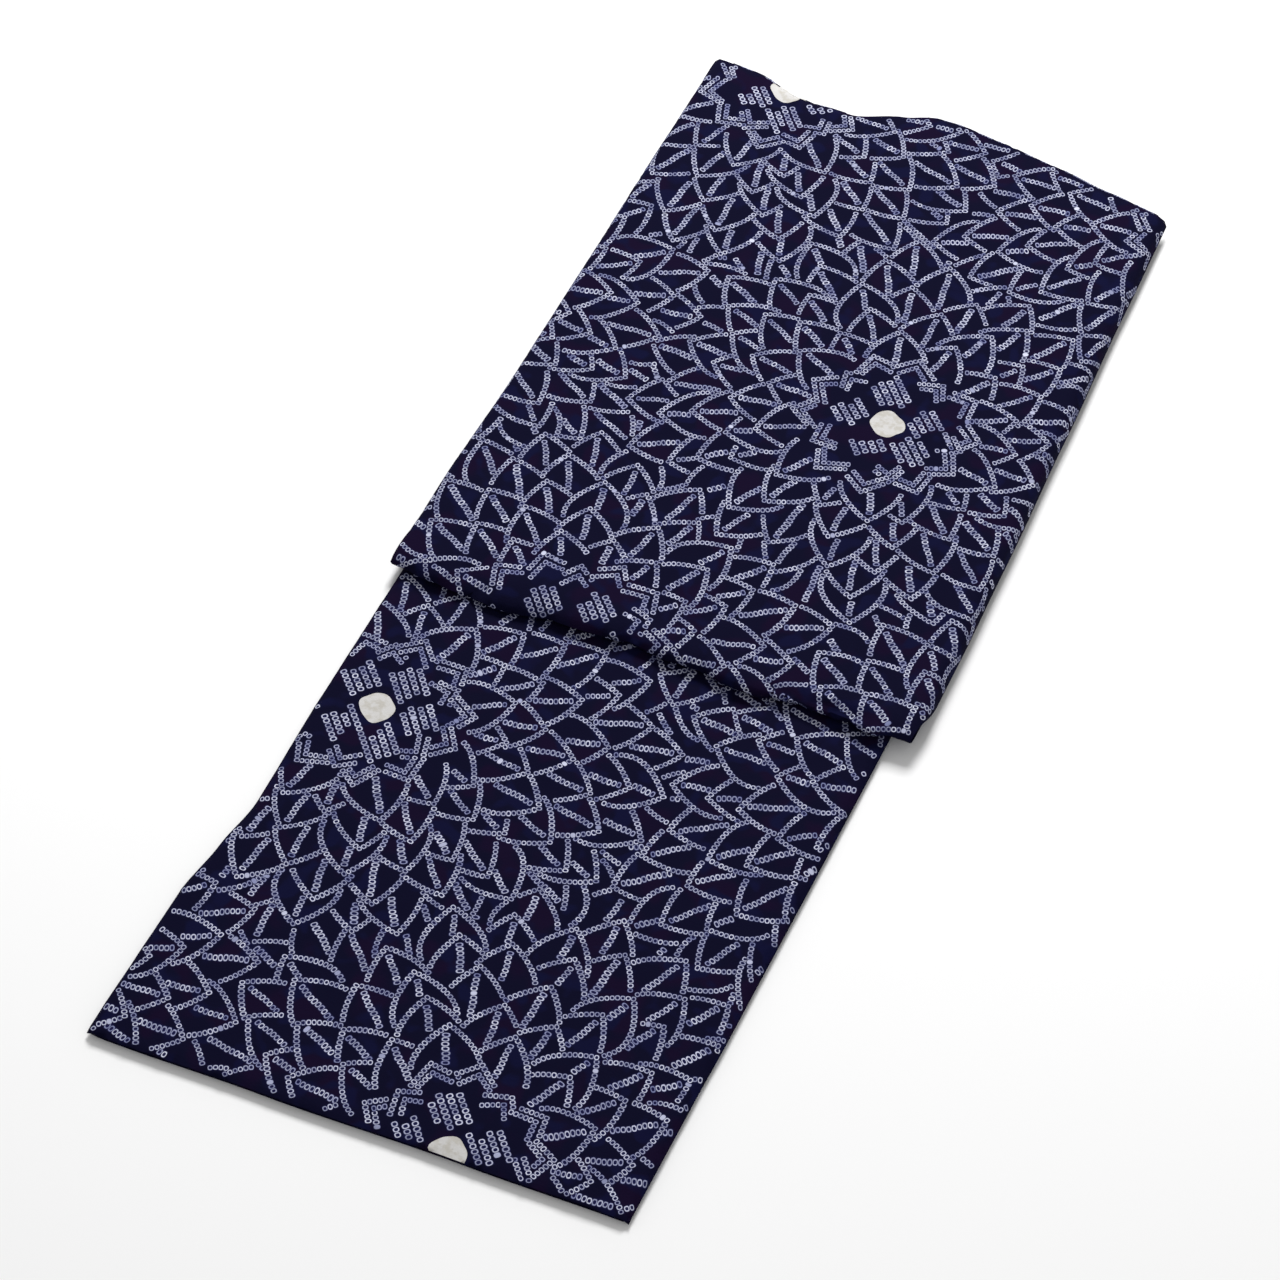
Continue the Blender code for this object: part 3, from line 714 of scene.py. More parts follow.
def ring_corners(ring):
    """Corners of the patch that a ring is drawn on."""
    a, v, heading, along, across = ring[:5]
    half_along, half_across = 0.5 * along, 0.5 * across * RING_MARGIN
    for i, j in ((-1, -1), (1, -1), (1, 1), (-1, 1)):
        yield step_from(a, v, heading, i * half_along, j * half_across)


def spot_corners(spot):
    """Outline of a pale spot: a rounded square with an uneven rim."""
    a, v, turn, phase = spot
    for step in range(SPOT_POINTS):
        angle = 2.0 * math.pi * step / SPOT_POINTS
        cos, sin = math.cos(angle), math.sin(angle)
        reach = (abs(cos) ** SPOT_POWER + abs(sin) ** SPOT_POWER) ** (-1.0 / SPOT_POWER)
        waves = 0.030 * math.sin(3.0 * angle + phase) + 0.018 * math.sin(7.0 * angle + 2.0 * phase)
        reach *= 1.0 + waves
        yield step_from(a, v, turn, SPOT_LONG * reach * cos, SPOT_WIDE * reach * sin)


def flat_cloth(cloth, outline, printed=True):
    """Triangulate a cloth. Returns its points, triangles and each triangle's patch."""
    points, faces = [], []
    patches = [ring_corners(r) for r in cloth.rings]
    patches += [[cloth.border.held(*p) for p in spot_corners(s)] for s in cloth.spots]
    for patch in patches if printed else []:
        start = len(points)
        points += list(patch)
        faces.append(list(range(start, len(points))))
    whole = len(faces)
    faces.append(list(range(len(points), len(points) + len(outline))))
    points += outline
    (low_a, low_v), (high_a, high_v) = np.min(outline, axis=0), np.max(outline, axis=0)
    for row, v in enumerate(np.arange(low_v, high_v, GRID_ROW)):
        for a in np.arange(low_a + 0.5 * (row % 2) * GRID_STEP, high_a, GRID_STEP):
            if cloth.border(a, v, GRID_INSET) and not (printed and cloth.near(a, v, GRID_CLEAR)):
                points.append((a, v))
    result = delaunay_2d_cdt([Vector(p) for p in points], [], faces, 0, SAME_POINT, True)
    where = np.array([tuple(p) for p in result[0]])
    triangles = np.array([tuple(f) for f in result[2]])
    patch = np.array([min(ids) if ids else whole for ids in result[5]])
    inside = np.array([whole in ids for ids in result[5]])
    return where, triangles[inside], np.where(patch < whole, patch, -1)[inside]


def inner_side(cloth, outline, place, outside):
    """The plain inner side of a cloth: its points, triangles and flat places."""
    where, triangles, _ = flat_cloth(cloth, outline, printed=False)
    points = np.stack(place(where[:, 0], where[:, 1]), axis=1)
    a, b, c = (points[triangles[:, i]] for i in range(3))
    normals = np.zeros(points.shape)
    for i in range(3):
        np.add.at(normals, triangles[:, i], np.cross(b - a, c - a))
    normals /= np.maximum(np.linalg.norm(normals, axis=1, keepdims=True), 1e-12)
    return points - outside * SHEET * normals, triangles, where


def add_piece(name, points, faces, material):
    """Put a smooth mesh of one material into the scene."""
    mesh = bpy.data.meshes.new(name)
    mesh.from_pydata(points.tolist(), [], faces)
    mesh.materials.append(material)
    mesh.shade_smooth()
    piece = bpy.data.objects.new(name, mesh)
    bpy.context.scene.collection.objects.link(piece)
    return piece


def add_cloth(name, sides, flowers, seed, place, outside=1.0):
    """Print one cloth between its four sides, build it and move it onto the bundle."""
    cloth, outline = print_cloth(Border(*sides), flowers, seed), outline_of(*sides)
    where, triangles, patch = flat_cloth(cloth, outline)
    outer = np.stack(place(where[:, 0], where[:, 1]), axis=1)
    inner_points, inner_triangles, inner_where = inner_side(cloth, outline, place, outside)
    first = len(outer)
    border = np.array(outline)
    outer_rim = [int(np.argmin(np.hypot(*(where - p).T))) for p in border]
    inner_rim = [first + int(np.argmin(np.hypot(*(inner_where - p).T))) for p in border]
    rim = []
    for i in range(len(border)):
        j = (i + 1) % len(border)
        rim += [(outer_rim[i], inner_rim[i], inner_rim[j]), (outer_rim[i], inner_rim[j], outer_rim[j])]
    faces = np.concatenate([triangles, first + inner_triangles[:, ::-1], rim])
    if outside < 0.0:
        faces = faces[:, ::-1]
    points = np.concatenate([outer, inner_points]) + np.array([HOME[0], HOME[1], 0.0])
    piece = add_piece(name, points, faces.tolist(), dyed_cotton)
    mesh = piece.data
    mesh.set_sharp_from_angle(angle=SHARP_EDGE)
    corner_at = np.concatenate([where, inner_where])[faces.ravel()]
    plain = np.full(len(inner_triangles) + len(rim), -1)
    corner_patch = np.repeat(np.concatenate([patch, plain]), 3)
    rings = np.array(cloth.rings)
    on_ring = (corner_patch >= 0) & (corner_patch < len(rings))
    which = np.where(on_ring, corner_patch, 0)
    da, dv = corner_at[:, 0] - rings[which, 0], corner_at[:, 1] - rings[which, 1]
    cos, sin = np.cos(rings[which, 2]), np.sin(rings[which, 2])
    u = (da * cos + dv * sin) / (0.5 * rings[which, 3])
    w = (dv * cos - da * sin) / (0.5 * rings[which, 4])
    ring_uv = np.where(on_ring[:, None], np.stack([u, w], axis=1), np.array([0.0, NO_RING]))
    mesh.uv_layers.new(name="ring").data.foreach_set("uv", ring_uv.ravel())
    mesh.uv_layers.new(name="cloth").data.foreach_set("uv", corner_at.ravel())
    in_spot = corner_patch >= len(rings)
    dye = np.where(on_ring[:, None], rings[which, 5:8], np.array([0.5, 0.0, 0.0]))
    dye = np.column_stack([dye, in_spot])
    layer = mesh.attributes.new("dye", "FLOAT_COLOR", "CORNER")
    layer.data.foreach_set("color", dye.ravel())
    print(name, "rings", len(cloth.rings), "spots", len(cloth.spots), "triangles", len(faces))
    return piece


def outline_of(left, right, near, far):
    """Walk a border counter-clockwise: near side, right side, far side, left side."""
    def spread(start, end):
        return np.linspace(0.0, 1.0, max(2, int(abs(end - start) / BORDER_STEP)) + 1)

    rows = spread(near(0.0), far(0.0))
    columns = spread(left(WIDTH_PLACE), right(WIDTH_PLACE))

    def corner(u, w):
        v = near(0.0) + w * (far(0.0) - near(0.0))
        for _ in range(4):
            a = left(v) + u * (right(v) - left(v))
            v = near(a) + w * (far(a) - near(a))
        return float(a), float(v)

    walk = [corner(u, 0.0) for u in columns[:-1]] + [corner(1.0, w) for w in rows[:-1]]
    walk += [corner(u, 1.0) for u in columns[:0:-1]] + [corner(0.0, w) for w in rows[:0:-1]]
    return walk


class Border:
    """The border of a cloth, asked for places inside it."""

    def __init__(self, left, right, near, far):
        self.rows = np.linspace(*BORDER_ROWS)
        self.columns = np.linspace(*BORDER_COLUMNS)
        self.left, self.right = left(self.rows), right(self.rows)
        self.near, self.far = near(self.columns), far(self.columns)

    def limits(self, a, v, margin):
        sides = (np.interp(v, self.rows, side) for side in (self.left, self.right))
        ends = (np.interp(a, self.columns, end) for end in (self.near, self.far))
        (left, right), (near, far) = sides, ends
        return left + margin, right - margin, near + margin, far - margin

    def __call__(self, a, v, margin):
        """Tell whether a place lies on the cloth, a margin inside its border."""
        left, right, near, far = self.limits(a, v, margin)
        return (left < a) & (a < right) & (near < v) & (v < far)

    def held(self, a, v):
        """Move a place just inside the border."""
        left, right, near, far = self.limits(a, v, HELD_INSET)
        return float(min(max(a, left), right)), float(min(max(v, near), far))


HOME = (
    -0.5 * (SLEEVE_EDGES["left"].min() + SLEEVE_EDGES["right"].max()),
    -0.5 * (HEM_LINE["along"].min() + FAR_LINE["along"].max()),
)
print("shift of the bundle in mm:", [round(1000.0 * value, 2) for value in HOME])

# %% [markdown]
# ## Materials
#
# The dye is worked out in the material from each ring's own coordinates: how far a point
# lies from its ring's middle gives the pale band, with soft rims as dye creeps under the
# ties. The ground is dark blue with slow purple and blue drifts. A flat colour would look
# like paper, so the yarns also lift the surface a little. One small class keeps the node
# sums readable as plain sums.

# %%
class Flow:
    """A socket of a material that can be summed, scaled and mixed."""

    def __init__(self, tree, socket=None):
        self.tree = tree
        self.socket = socket

    def node(self, kind, settings, values, output=0):
        """Add a node with its settings and socket values, and return one of its outputs."""
        made = self.tree.nodes.new(kind)
        for name, value in settings.items():
            setattr(made, name, value)
        for key, value in values.items():
            if isinstance(value, Flow):
                self.tree.links.new(value.socket, made.inputs[key])
            else:
                made.inputs[key].default_value = value
        return Flow(self.tree, made.outputs[output])

    def maths(self, operation, *values):
        return self.node("ShaderNodeMath", {"operation": operation}, dict(enumerate(values)))

    def __add__(self, other):
        return self.maths("ADD", self, other)

    def __sub__(self, other):
        return self.maths("SUBTRACT", self, other)

    def __rsub__(self, other):
        return self.maths("SUBTRACT", other, self)

    def __mul__(self, other):
        return self.maths("MULTIPLY", self, other)

    def __pow__(self, other):
        return self.maths("POWER", self, other)

    __radd__ = __add__
    __rmul__ = __mul__

    def size(self):
        return self.maths("ABSOLUTE", self)

    def rise(self, low, high):
        """Ease from 0 at low to 1 at high."""
        return self.node(
            "ShaderNodeMapRange",
            {"interpolation_type": "SMOOTHSTEP"},
            {"Value": self, "From Min": low, "From Max": high},
        )

    def mix(self, first, second):
        """Mix two colours by this share."""
        return self.node(
            "ShaderNodeMix", {"data_type": "RGBA"}, {0: self, 6: first, 7: second}, output=2
        )

    def noise(self, scale, detail=2.0, roughness=0.5):
        """Noise at these coordinates, from about 0.3 to 0.7."""
        values = {"Vector": self, "Scale": scale, "Detail": detail, "Roughness": roughness}
        return self.node("ShaderNodeTexNoise", {"noise_dimensions": "3D"}, values)

    def part(self, number):
        """One number of a vector."""
        return self.node("ShaderNodeSeparateXYZ", {}, {"Vector": self}, output=number)


NAVY = (0.0036, 0.0034, 0.0165, 1.0)
PURPLE = (0.0066, 0.0030, 0.0175, 1.0)
BLUE = (0.0044, 0.0048, 0.0270, 1.0)
HALO = (0.0100, 0.0110, 0.0600, 1.0)
PALE = (0.29, 0.31, 0.47, 1.0)
PALER = (0.68, 0.70, 0.84, 1.0)
TINT = (0.110, 0.130, 0.340, 1.0)
CREAM = (0.57, 0.56, 0.55, 1.0)
# darker cream that paints the shade of small wrinkles on the pale spots
CREAM_IN_PAINTED_SHADE = (0.475, 0.455, 0.415, 1.0)
COTTON_SHINE = 0.03     # cotton reflects next to nothing
RING_POWER = 2.5        # rings are a little squarer than ellipses


def matt_material(name, roughness):
    """Start a matt material."""
    material = bpy.data.materials.new(name)
    material.use_nodes = True
    shader = material.node_tree.nodes["Principled BSDF"]
    shader.inputs["Roughness"].default_value = roughness
    shader.inputs["Specular IOR Level"].default_value = COTTON_SHINE
    return material


def finish(material, colour, height, strength, depth):
    """Give a material its colour and the fine relief of its yarns."""
    shader = material.node_tree.nodes["Principled BSDF"]
    relief = {"Strength": strength, "Distance": depth, "Height": height}
    bump = colour.node("ShaderNodeBump", {}, relief)
    colour.tree.links.new(colour.socket, shader.inputs["Base Color"])
    colour.tree.links.new(bump.socket, shader.inputs["Normal"])
    return material


def make_dyed_cotton():
    """Dark blue cotton with pale tied rings and pale spots, and painted shade of small wrinkles on the
    spots.
    """
    material = matt_material("dyed_cotton", 0.86)
    flow = Flow(material.node_tree)
    cloth = flow.node("ShaderNodeUVMap", {"uv_map": "cloth"}, {})
    ring = flow.node("ShaderNodeUVMap", {"uv_map": "ring"}, {})
    dye = flow.node("ShaderNodeAttribute", {"attribute_name": "dye"}, {})
    spot = flow.node("ShaderNodeAttribute", {"attribute_name": "dye"}, {}, output=3)
    tone, tint, full = dye.part(0), dye.part(1), dye.part(2)
    speck = cloth.noise(1500.0, 2.0, 0.6)
    drift = cloth.noise(34.0, 1.5)
    drift_two = cloth.noise(58.0, 1.0)
    ground = drift.rise(0.50, 0.62).mix(NAVY, PURPLE)
    ground = drift_two.rise(0.54, 0.66).mix(ground, BLUE)
    u, w = ring.part(0).size(), ring.part(1).size()
    distance = (u**RING_POWER + w**RING_POWER) ** (1.0 / RING_POWER) + (speck - 0.5) * 0.22
    halo = distance.rise(1.9, 0.85)
    ground = (halo * 0.75).mix(ground, HALO)
    band = distance.rise(1.01, 0.84) * (distance.rise(0.47, 0.72) + full).rise(0.0, 1.0)
    pale = (tone * 0.7 + speck * 0.6 - 0.15).rise(0.0, 1.0).mix(PALE, PALER)
    pale = (tint * 0.9).mix(pale, TINT)
    colour = (band * (0.80 + 0.20 * tone)).mix(ground, pale)
    # Painted shade: a noise mask darkens the pale spots towards a greyer cream, where small wrinkles
    # would shade them.
    wrinkle_shade_mask = cloth.noise(170.0, 2.0, 0.6).rise(0.42, 0.62)
    cream_with_painted_shade = (wrinkle_shade_mask * 0.9).mix(CREAM, CREAM_IN_PAINTED_SHADE)
    colour = spot.rise(0.4, 0.6).mix(colour, cream_with_painted_shade)
    height = band * 0.35 + cloth.noise(620.0, 2.0, 0.55) * 0.9
    return finish(material, colour, height, 0.55, 0.0004)


def make_inner_cotton():
    """The same cotton seen edge on, where only marks of the print show."""
    material = matt_material("inner_cotton", 0.9)
    place = Flow(material.node_tree).node("ShaderNodeTexCoord", {}, {}, output=3)
    marks = place.noise(260.0, 2.0, 0.6).rise(0.575, 0.63)
    ground = place.noise(30.0, 1.0).rise(0.45, 0.62).mix(NAVY, BLUE)
    return finish(material, (marks * 0.6).mix(ground, TINT), place.noise(900.0), 0.4, 0.0003)


dyed_cotton = make_dyed_cotton()
inner_cotton = make_inner_cotton()
print("materials:", dyed_cotton.name, inner_cotton.name)

# %% [markdown]
# ## The left back panel at the hem
#
# This is the upper face of the hem part. Its hem is turned under, its open side follows
# the side seam, and its other side turns down to the centre back seam. It is one printed
# sheet. It goes on a little way below the shoulder fold, as the robe itself does.

# %%
FLOWERS_HEM = table(
    "across along layout turn reach spot",
    (-0.127, 0.2595, 1, 0, 1.0, 1),
    (0.051, -0.001, 0, 6, 1.0, 1),
    (0.215, 0.330, 1, 20, 1.0, 1),
    (-0.260, 0.010, 0, 0, 1.0, 1),
    (0.040, 0.520, 0, 0, 1.0, 1),
)


def hem_left(v):
    return panel_edge("left", v) + PANEL_ROUND - round_length(PANEL_ROUND, PANEL_DROP)


def hem_right(v):
    return panel_edge("right", v) - SEAM_ROUND + round_length(SEAM_ROUND, SEAM_DROP)


def hem_near(a):
    return hem_line(a) + HEM_TURN - 0.5 * math.pi * HEM_TURN


def hem_far(a):
    return np.full(np.shape(a), PANEL_TUCK)


def place_hem(a, v):
    """Place points of the left back panel on the bundle."""
    left, right = panel_edge("left", v), panel_edge("right", v)
    x, drop = across_round(a, left, right, PANEL_ROUND, SEAM_ROUND, PANEL_DROP, SEAM_DROP)
    bend = hem_line(a) + HEM_TURN
    turn = np.clip((bend - v) / HEM_TURN, 0.0, 0.5 * math.pi)
    y = np.where(v < bend, bend - HEM_TURN * np.sin(turn), v)
    fade = smooth((v - bend) / END_EASE) * smooth((PANEL_TUCK - v) / TUCK_EASE)
    fine = folded_height(HEM_CREASES, a, v) + puckers(a, v)
    z = lower_top(x, y) - drop - HEM_TURN * (1.0 - np.cos(turn)) + fade * fine
    return x, y, z


hem_sides = (hem_left, hem_right, hem_near, hem_far)
hem_piece = add_cloth("left_back_panel_cloth", hem_sides, FLOWERS_HEM, 11, place_hem)

# %% [markdown]
# ## The right sleeve over the turned part
#
# The sleeve lies on the right back panel and is a little wider than it, so both its long
# sides hang down. It wraps round the shoulder fold and ends just before the far fold. The
# creases run out of the shoulder fold, and they are given in cloth coordinates, so they
# go round its nose without a break.

# %%
FLOWERS_SLEEVE = table(
    "across along layout turn reach spot",
    (0.0665, 0.5905, 0, 0, 1.0, 1),
    (-0.114, 0.8455, 1, -10, 1.0, 1),
    (-0.048, 0.3485, 1, -3, 1.13, 0),
    (0.200, 0.830, 0, 10, 1.0, 1),
    (-0.240, 0.590, 0, 0, 1.0, 1),
    (0.225, 0.330, 0, -20, 1.0, 1),
)


def sleeve_far(a):
    return far_line(a) - SLEEVE_SETBACK + HEM_TURN


def sleeve_near(a):
    front, nose, high, under, over = shoulder_fold(a)
    low = LOWER_TOP + SEAM_GAP
    rounds = round_length(over, high - nose) + round_length(nose - low, under)
    return front + over - rounds - (SLEEVE_TUCK - under)


def sleeve_hang(y):
    """Share of the full hang of the sleeve's sides at a place along the robe."""
    grown = (1.0 - HANG_AT_SHOULDER) * smooth((y - HANG_GROWS) / DROOP_EASE)
    lost = (1.0 - HANG_AT_FAR) * smooth(1.0 + (y - HANG_ENDS) / DROOP_EASE)
    return (HANG_AT_SHOULDER + grown) * (1.0 - lost)


def sleeve_left(v):
    y = np.maximum(v, EDGE_START)
    arc = round_length(SLEEVE_ROUND_LEFT, SLEEVE_DROP_LEFT * sleeve_hang(y))
    return sleeve_edge("left", y) + SLEEVE_ROUND_LEFT - arc


def sleeve_right(v):
    y = np.maximum(v, EDGE_START)
    arc = round_length(SLEEVE_ROUND_RIGHT, SLEEVE_DROP_RIGHT * sleeve_hang(y))
    return sleeve_edge("right", y) - SLEEVE_ROUND_RIGHT + arc


def place_sleeve(a, v):
    """Place points of the right sleeve on the bundle."""
    front, nose, high, under, over = shoulder_fold(np.clip(a, -EDGE_PLACE, EDGE_PLACE))
    low = LOWER_TOP + SEAM_GAP
    top_start = front + over
    over_turn, over_length = walk_round(over, high - nose, np.maximum(0.0, top_start - v))
    under_run = top_start - over_length - v
    under_turn, under_length = walk_round(nose - low, under, np.maximum(0.0, under_run))
    tuck_run = under_run - under_length
    on_top, on_over, on_under = v >= top_start, under_run < 0.0, tuck_run < 0.0
    y = np.where(on_top, v, top_start - over * np.sin(over_turn))
    y = np.where(on_over, y, front + under * (1.0 - np.cos(under_turn)))
    y = np.where(on_under, y, front + under + tuck_run)
    y_edge = np.maximum(v, EDGE_START)
    left, right, hang = sleeve_edge("left", y_edge), sleeve_edge("right", y_edge), sleeve_hang(y_edge)
    drops = SLEEVE_DROP_LEFT * hang, SLEEVE_DROP_RIGHT * hang
    x, drop = across_round(a, left, right, SLEEVE_ROUND_LEFT, SLEEVE_ROUND_RIGHT, *drops)
    far_bend = far_line(a) - SLEEVE_SETBACK
    end_turn = np.clip((v - far_bend) / HEM_TURN, 0.0, 0.5 * math.pi)
    y = np.where(v > far_bend, far_bend + HEM_TURN * np.sin(end_turn), y)
    top = upper_top(x, np.maximum(y, top_start)) - drop
    z = np.where(on_top, top, nose + (top - nose) * np.cos(over_turn))
    z = np.where(on_over, z, nose - (nose - low) * np.sin(under_turn))
    z = np.where(on_under, z, low) - HEM_TURN * (1.0 - np.cos(end_turn))
    fine = folded_height(SLEEVE_CREASES, a, v) + puckers(a, v)
    fine *= smooth((far_bend - v) / END_EASE) * smooth(1.0 - drop / SIDE_EASE)
    fine *= 1.0 - smooth(tuck_run / TUCKED_EASE)
    lean = np.where(on_over, over_turn, 0.5 * math.pi + under_turn)
    y = y - fine * np.sin(lean)
    z = z + fine * np.cos(lean)
    return x, y, np.maximum(z, low)


sleeve_sides = (sleeve_left, sleeve_right, sleeve_near, sleeve_far)
sleeve_piece = add_cloth("right_sleeve_cloth", sleeve_sides, FLOWERS_SLEEVE, 23, place_sleeve)

# %% [markdown]
# ## The right back panel below
#
# This panel lies on the table, flat, because the whole bundle rests on it. It curls up to
# the centre back seam, turns up round the far fold and runs in below the sleeve's end. Its
# print goes round the far fold in true lengths.

# %%
FLOWERS_UNDER = table(
    "across along layout turn reach spot",
    (0.060, 0.110, 0, 0, 1.0, 1),
    (-0.120, 0.350, 1, 4, 1.0, 1),
    (0.060, 0.595, 0, -6, 1.0, 1),
    (-0.110, 0.862, 1, 0, 1.0, 1),
    (0.190, 0.860, 0, 9, 1.0, 1),
    (-0.240, 0.600, 0, 0, 1.0, 1),
    (0.215, 0.350, 1, 0, 1.0, 1),
    (-0.240, 0.100, 1, 0, 1.0, 1),
)


def under_turns(a):
    """Start of the far turn, half its height, and the lengths of its two quarters."""
    start = far_line(a) - FAR_ROUND
    half = 0.5 * (upper_top(a, start) - WALL - LAYER_GAP)
    return start, half, round_length(FAR_ROUND, half), round_length(half, FAR_ROUND)


def under_near(a):
    return hem_line(a) + UNDER_INSET + HEM_TURN - 0.5 * math.pi * HEM_TURN


def under_far(a):
    start, _, first, second = under_turns(a)
    return start + first + second + BACK_RETURN


def under_rise(v):
    return (SEAM_HEIGHT - SEAM_RIM) * (1.0 - smooth((v - CURL_END) / CURL_EASE))


def under_left(v):
    return panel_edge("left", v) + UNDER_LEFT + UNDER_ROUND - round_length(UNDER_ROUND, UNDER_RISE)


def under_right(v):
    return panel_edge("right", v) - SEAM_ROUND + round_length(SEAM_ROUND, under_rise(v))


def place_under(a, v):
    """Place points of the right back panel on the table and round the far fold."""
    start, half, first, second = under_turns(a)
    left, right = panel_edge("left", v) + UNDER_LEFT, panel_edge("right", v)
    rises = UNDER_RISE * smooth((start - v) / RISE_EASE), under_rise(v)
    x, rise = across_round(a, left, right, UNDER_ROUND, SEAM_ROUND, *rises)
    bend = hem_line(a) + UNDER_INSET + HEM_TURN
    hem_turn = np.clip((bend - v) / HEM_TURN, 0.0, 0.5 * math.pi)
    first_turn, _ = walk_round(FAR_ROUND, half, np.maximum(0.0, v - start))
    second_turn, _ = walk_round(half, FAR_ROUND, np.maximum(0.0, v - start - first))
    back = v - start - first - second
    y = np.where(v < bend, bend - HEM_TURN * np.sin(hem_turn), v)
    y = np.where(v > start, start + FAR_ROUND * np.sin(first_turn), y)
    y = np.where(v > start + first, start + FAR_ROUND * np.cos(second_turn), y)
    y = np.where(back > 0.0, start - back, y)
    z = rise + HEM_TURN * (1.0 - np.cos(hem_turn))
    z = np.where(v > start, half * (1.0 - np.cos(first_turn)), z)
    z = np.where(v > start + first, half + half * np.sin(second_turn), z)
    z = np.where(back > 0.0, upper_top(x, y) - WALL - LAYER_GAP, z)
    return x, y, z


under_sides = (under_left, under_right, under_near, under_far)
under_piece = add_cloth(
    "right_back_panel_cloth", under_sides, FLOWERS_UNDER, 37, place_under, outside=-1.0
)

# %% [markdown]
# ## The layers between
#
# Fronts, overlap panels, collar, the other sleeve and the seam allowances lie inside. Only
# their edges show, at the open side, at the hem and below the sleeve's sides. Each inner
# sheet could be built whole, but nearly all of it would never be seen. So they are two
# closed stacks whose walls step in and out once for each layer, and every layer's edge
# wanders a little by itself.

# %%
LOWER_LAYERS = 6
UPPER_LAYERS = 12
EDGE_TOP = 0.76         # top of a layer's edge, as a share of the layer's height
GROOVE = 0.0013         # depth of the groove between two edges
LEFT_INSET = 0.0016
RIGHT_INSET = 0.0050
HEM_INSET = 0.0020
EDGE_WANDER = 0.0006
EDGE_PULLED = 0.0014    # some layers are pulled in further
FAR_WANDER = 0.3        # the edges wander less at the far fold
LOWER_PART = 0.40       # shares of the far fold's height that the two stacks fill
UPPER_START = 0.44
UPPER_PART = 0.52
STACK_SIDE = 0.158      # the tables are read no further out than this for the stacks
NEAR_CROWD = 1.6        # rows of points stand closer at the shoulder fold
RETURN_CLEAR = 0.016    # the upper stack sinks below the far fold's return from here on
RETURN_EASE = 0.030
FRONT_EASE = 0.02


def stack_levels(layers):
    """Heights through a stack as shares, with the layer of each and whether it stands out."""
    levels = []
    for layer in range(layers):
        for share, lip in ((0.0, 0.0), (1.0 - EDGE_TOP, 1.0), (EDGE_TOP, 1.0)):
            levels.append(((layer + share) / layers, layer, lip))
    levels.append((1.0, layers - 1, 0.0))
    return np.array(levels)


def wander(layer, x, y):
    """How far a layer's edge lies inside the bundle's side, changing slowly along it."""
    run = 19.0 * x + 23.0 * y
    wave = np.sin(run + 1.9 * layer) + 0.6 * np.sin(2.3 * run + 4.1 * layer)
    pulled = EDGE_PULLED * (np.sin(2.7 * layer + 1.0) > 0.75)
    return EDGE_WANDER * (1.6 + wave) + pulled


def far_round(x, share):
    """Far end of the layers at a share of the height, rounded as the far fold is."""
    reach = np.sqrt(1.0 - np.minimum(1.0, np.abs(2.0 * share - 1.0)) ** 2)
    return far_line(x) - FAR_ROUND + (FAR_ROUND - FAR_CLEARANCE) * reach


def across_stack(u, y, inset):
    """Place across the robe in a stack, between its two uneven sides."""
    left = panel_edge("left", y) + LEFT_INSET + inset
    right = panel_edge("right", y) - RIGHT_INSET - inset
    return left + u * (right - left)


def round_share(run):
    """Height reached on a quarter round at a share of its depth."""
    return np.sqrt(1.0 - (1.0 - np.clip(run, 0.0, 1.0)) ** 2)


def place_lower(u, w, share, inset):
    """Place points of the lower stack, from the hem to the far fold."""
    x_read = STACK_SIDE * (2.0 * u - 1.0)
    near = hem_line(x_read) + HEM_INSET + inset
    far = far_round(x_read, LOWER_PART * share) - FAR_WANDER * inset
    y = near + w * (far - near)
    x = across_stack(u, y, inset)
    floor = WALL + SEAM_GAP
    top = np.where(y < PANEL_TUCK, lower_top(x, y), LOWER_TOP) - WALL - LAYER_GAP
    return x, y, floor + share * (top - floor)


def place_upper(u, w, share, inset):
    """Place points of the upper stack, from the shoulder fold to the far fold."""
    x_read = STACK_SIDE * (2.0 * u - 1.0)
    front, nose, high, under, over = shoulder_fold(x_read)
    near = front + NOSE_CLEARANCE
    far = far_round(x_read, UPPER_START + UPPER_PART * share) - FAR_WANDER * inset
    y = near + w**NEAR_CROWD * (far - near)
    x = across_stack(u, y, inset)
    on_round = nose + (high - nose) * round_share((y - front) / over)
    top = np.where(y < front + over, on_round, upper_top(x, y))
    return_start = far_line(x) - FAR_ROUND - BACK_RETURN - RETURN_CLEAR
    below = smooth(1.0 + (y - return_start) / RETURN_EASE)
    fine = folded_height(SLEEVE_CREASES, x, y) * smooth((y - front) / FRONT_EASE)
    top = top - (WALL + LAYER_GAP) * (1.0 + below) + np.minimum(fine, 0.0)
    hollow = (nose - LOWER_TOP - SEAM_GAP) * round_share((y - front) / under)
    low = nose - hollow + WALL + SEAM_GAP
    return x, y, low + share * (top - low)


def stack_faces(counts, first):
    """Faces of a closed stack, as keys into its grid of columns, rows and levels."""
    keys, quads = {}, []
    for axis, side, up in ((0, 2, 1), (1, 0, 2), (2, 1, 0)):
        for i, j in np.ndindex(counts[side] - 1, counts[up] - 1):
            for end in (0, counts[axis] - 1):
                quad = []
                for di, dj in ((0, 0), (1, 0), (1, 1), (0, 1)):
                    key = [end, end, end]
                    key[side], key[up] = i + di, j + dj
                    quad.append(keys.setdefault(tuple(key), first + len(keys)))
                quads.append([quad[0], *quad[:0:-1]] if end else quad)
    return np.array(list(keys)), quads


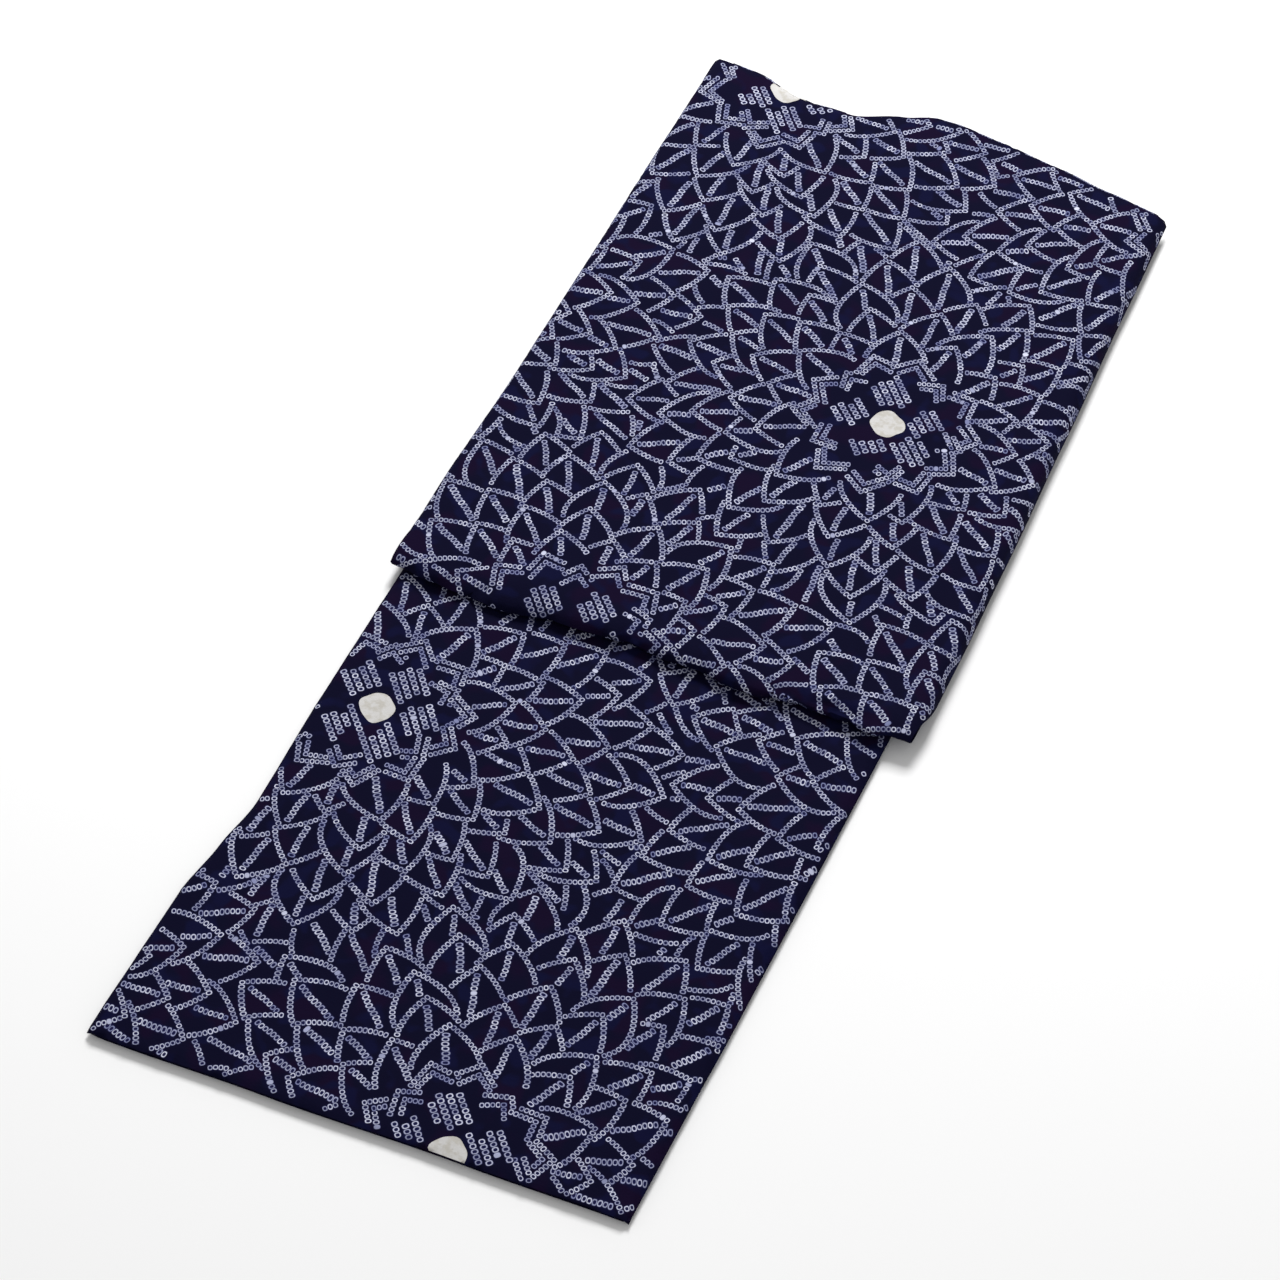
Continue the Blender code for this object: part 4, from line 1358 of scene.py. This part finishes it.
def add_layers(name):
    """Build the two stacks as one piece, each with its layers and its grid of points."""
    points, faces = np.zeros((0, 3)), []
    stacks = ((LOWER_LAYERS, 0, 34, 88, place_lower), (UPPER_LAYERS, 3, 34, 64, place_upper))
    for layers, below, columns, rows, place in stacks:
        levels = stack_levels(layers)
        keys, quads = stack_faces((columns, rows, len(levels)), len(points))
        u, w = keys[:, 0] / (columns - 1), keys[:, 1] / (rows - 1)
        share, layer, lip = levels[keys[:, 2]].T
        side = (u == 0.0) | (u == 1.0) | (w == 0.0) | (w == 1.0)
        edge = wander(layer + below, STACK_SIDE * (2.0 * u - 1.0), 0.9 * w) + GROOVE * (1.0 - lip)
        x, y, z = place(u, w, share, np.where(side, edge, 0.0))
        points = np.concatenate([points, np.stack([x + HOME[0], y + HOME[1], z], axis=1)])
        faces += quads
    piece = add_piece(name, points, faces, inner_cotton)
    area = sum(face.area for face in piece.data.polygons)
    print(name, "faces", len(faces), "half its surface in m2:", round(0.5 * area, 3))
    return piece


layers_piece = add_layers("hidden_layers_cloth")

# %% [markdown]
# ## Joining the frame
#
# Each cloth takes the place of its solid and rides on the one body.

# %%
for piece, node, material_slot in (
    (hem_piece, "left_back_panel", "dyed_cotton"),
    (sleeve_piece, "right_sleeve", "dyed_cotton"),
    (under_piece, "right_back_panel", "dyed_cotton"),
    (layers_piece, "hidden_layers", "inner_cotton"),
):
    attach(piece, "root")
    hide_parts(node)

# %% [markdown]
# ## Floor, light and camera
#
# The photo is a cut-out on white, so the floor is plain and pale. The light is large and
# soft and comes from above and behind, which leaves a soft shade before the shoulder
# fold. The camera stands where the photo was taken from, found from the bundle's corners.

# %%
CAMERA_AZIMUTH = 24.88
CAMERA_ELEVATION = 51.28
CAMERA_DISTANCE = 2.446
CAMERA_TARGET = Vector((HOME[0] - 0.0076, HOME[1] + 0.3779, 0.0))
CAMERA_LENS = 112.5
FLOOR_HALF = 6.0
FLOOR_GAP = 0.0003
FLOOR_TONE = (0.92, 0.92, 0.92, 1.0)
SKY_TONE = (1.0, 1.0, 1.0, 1.0)
SKY_STRENGTH = 0.44


def add_floor():
    """A plain pale floor, much larger than the object."""
    material = bpy.data.materials.new("floor")
    material.use_nodes = True
    shader = material.node_tree.nodes["Principled BSDF"]
    shader.inputs["Base Color"].default_value = FLOOR_TONE
    shader.inputs["Roughness"].default_value = 0.95
    corners = FLOOR_HALF * np.array([(-1, -1, 0), (1, -1, 0), (1, 1, 0), (-1, 1, 0)])
    floor = add_piece("floor", corners, [(0, 1, 2, 3)], material)
    floor.location.z = -FLOOR_GAP


def add_light(name, place, size, power):
    """A square soft light that looks at the bundle."""
    lamp = bpy.data.lights.new(name, "AREA")
    lamp.shape = "SQUARE"
    lamp.size = size
    lamp.energy = power
    light = bpy.data.objects.new(name, lamp)
    light.location = place
    light.rotation_euler = Vector(place).to_track_quat("Z", "Y").to_euler()
    bpy.context.scene.collection.objects.link(light)


def add_camera():
    """The camera at the photo's angle."""
    azimuth, elevation = math.radians(CAMERA_AZIMUTH), math.radians(CAMERA_ELEVATION)
    level = math.cos(elevation)
    back = Vector((math.sin(azimuth) * level, -math.cos(azimuth) * level, math.sin(elevation)))
    data = bpy.data.cameras.new("camera")
    data.lens = CAMERA_LENS
    data.sensor_width = 36.0
    camera = bpy.data.objects.new("camera", data)
    camera.location = CAMERA_TARGET + CAMERA_DISTANCE * back
    camera.rotation_euler = back.to_track_quat("Z", "Y").to_euler()
    bpy.context.scene.collection.objects.link(camera)
    bpy.context.scene.camera = camera


add_floor()
add_light("behind", (-0.45, 1.62, 1.90), 0.9, 66.0)
add_light("front", (0.9, -1.6, 2.2), 2.0, 4.0)
add_camera()
world = bpy.data.worlds.new("studio")
world.use_nodes = True
sky = world.node_tree.nodes["Background"].inputs
sky["Color"].default_value = SKY_TONE
sky["Strength"].default_value = SKY_STRENGTH
bpy.context.scene.world = world
bpy.context.scene.view_settings.view_transform = "Standard"
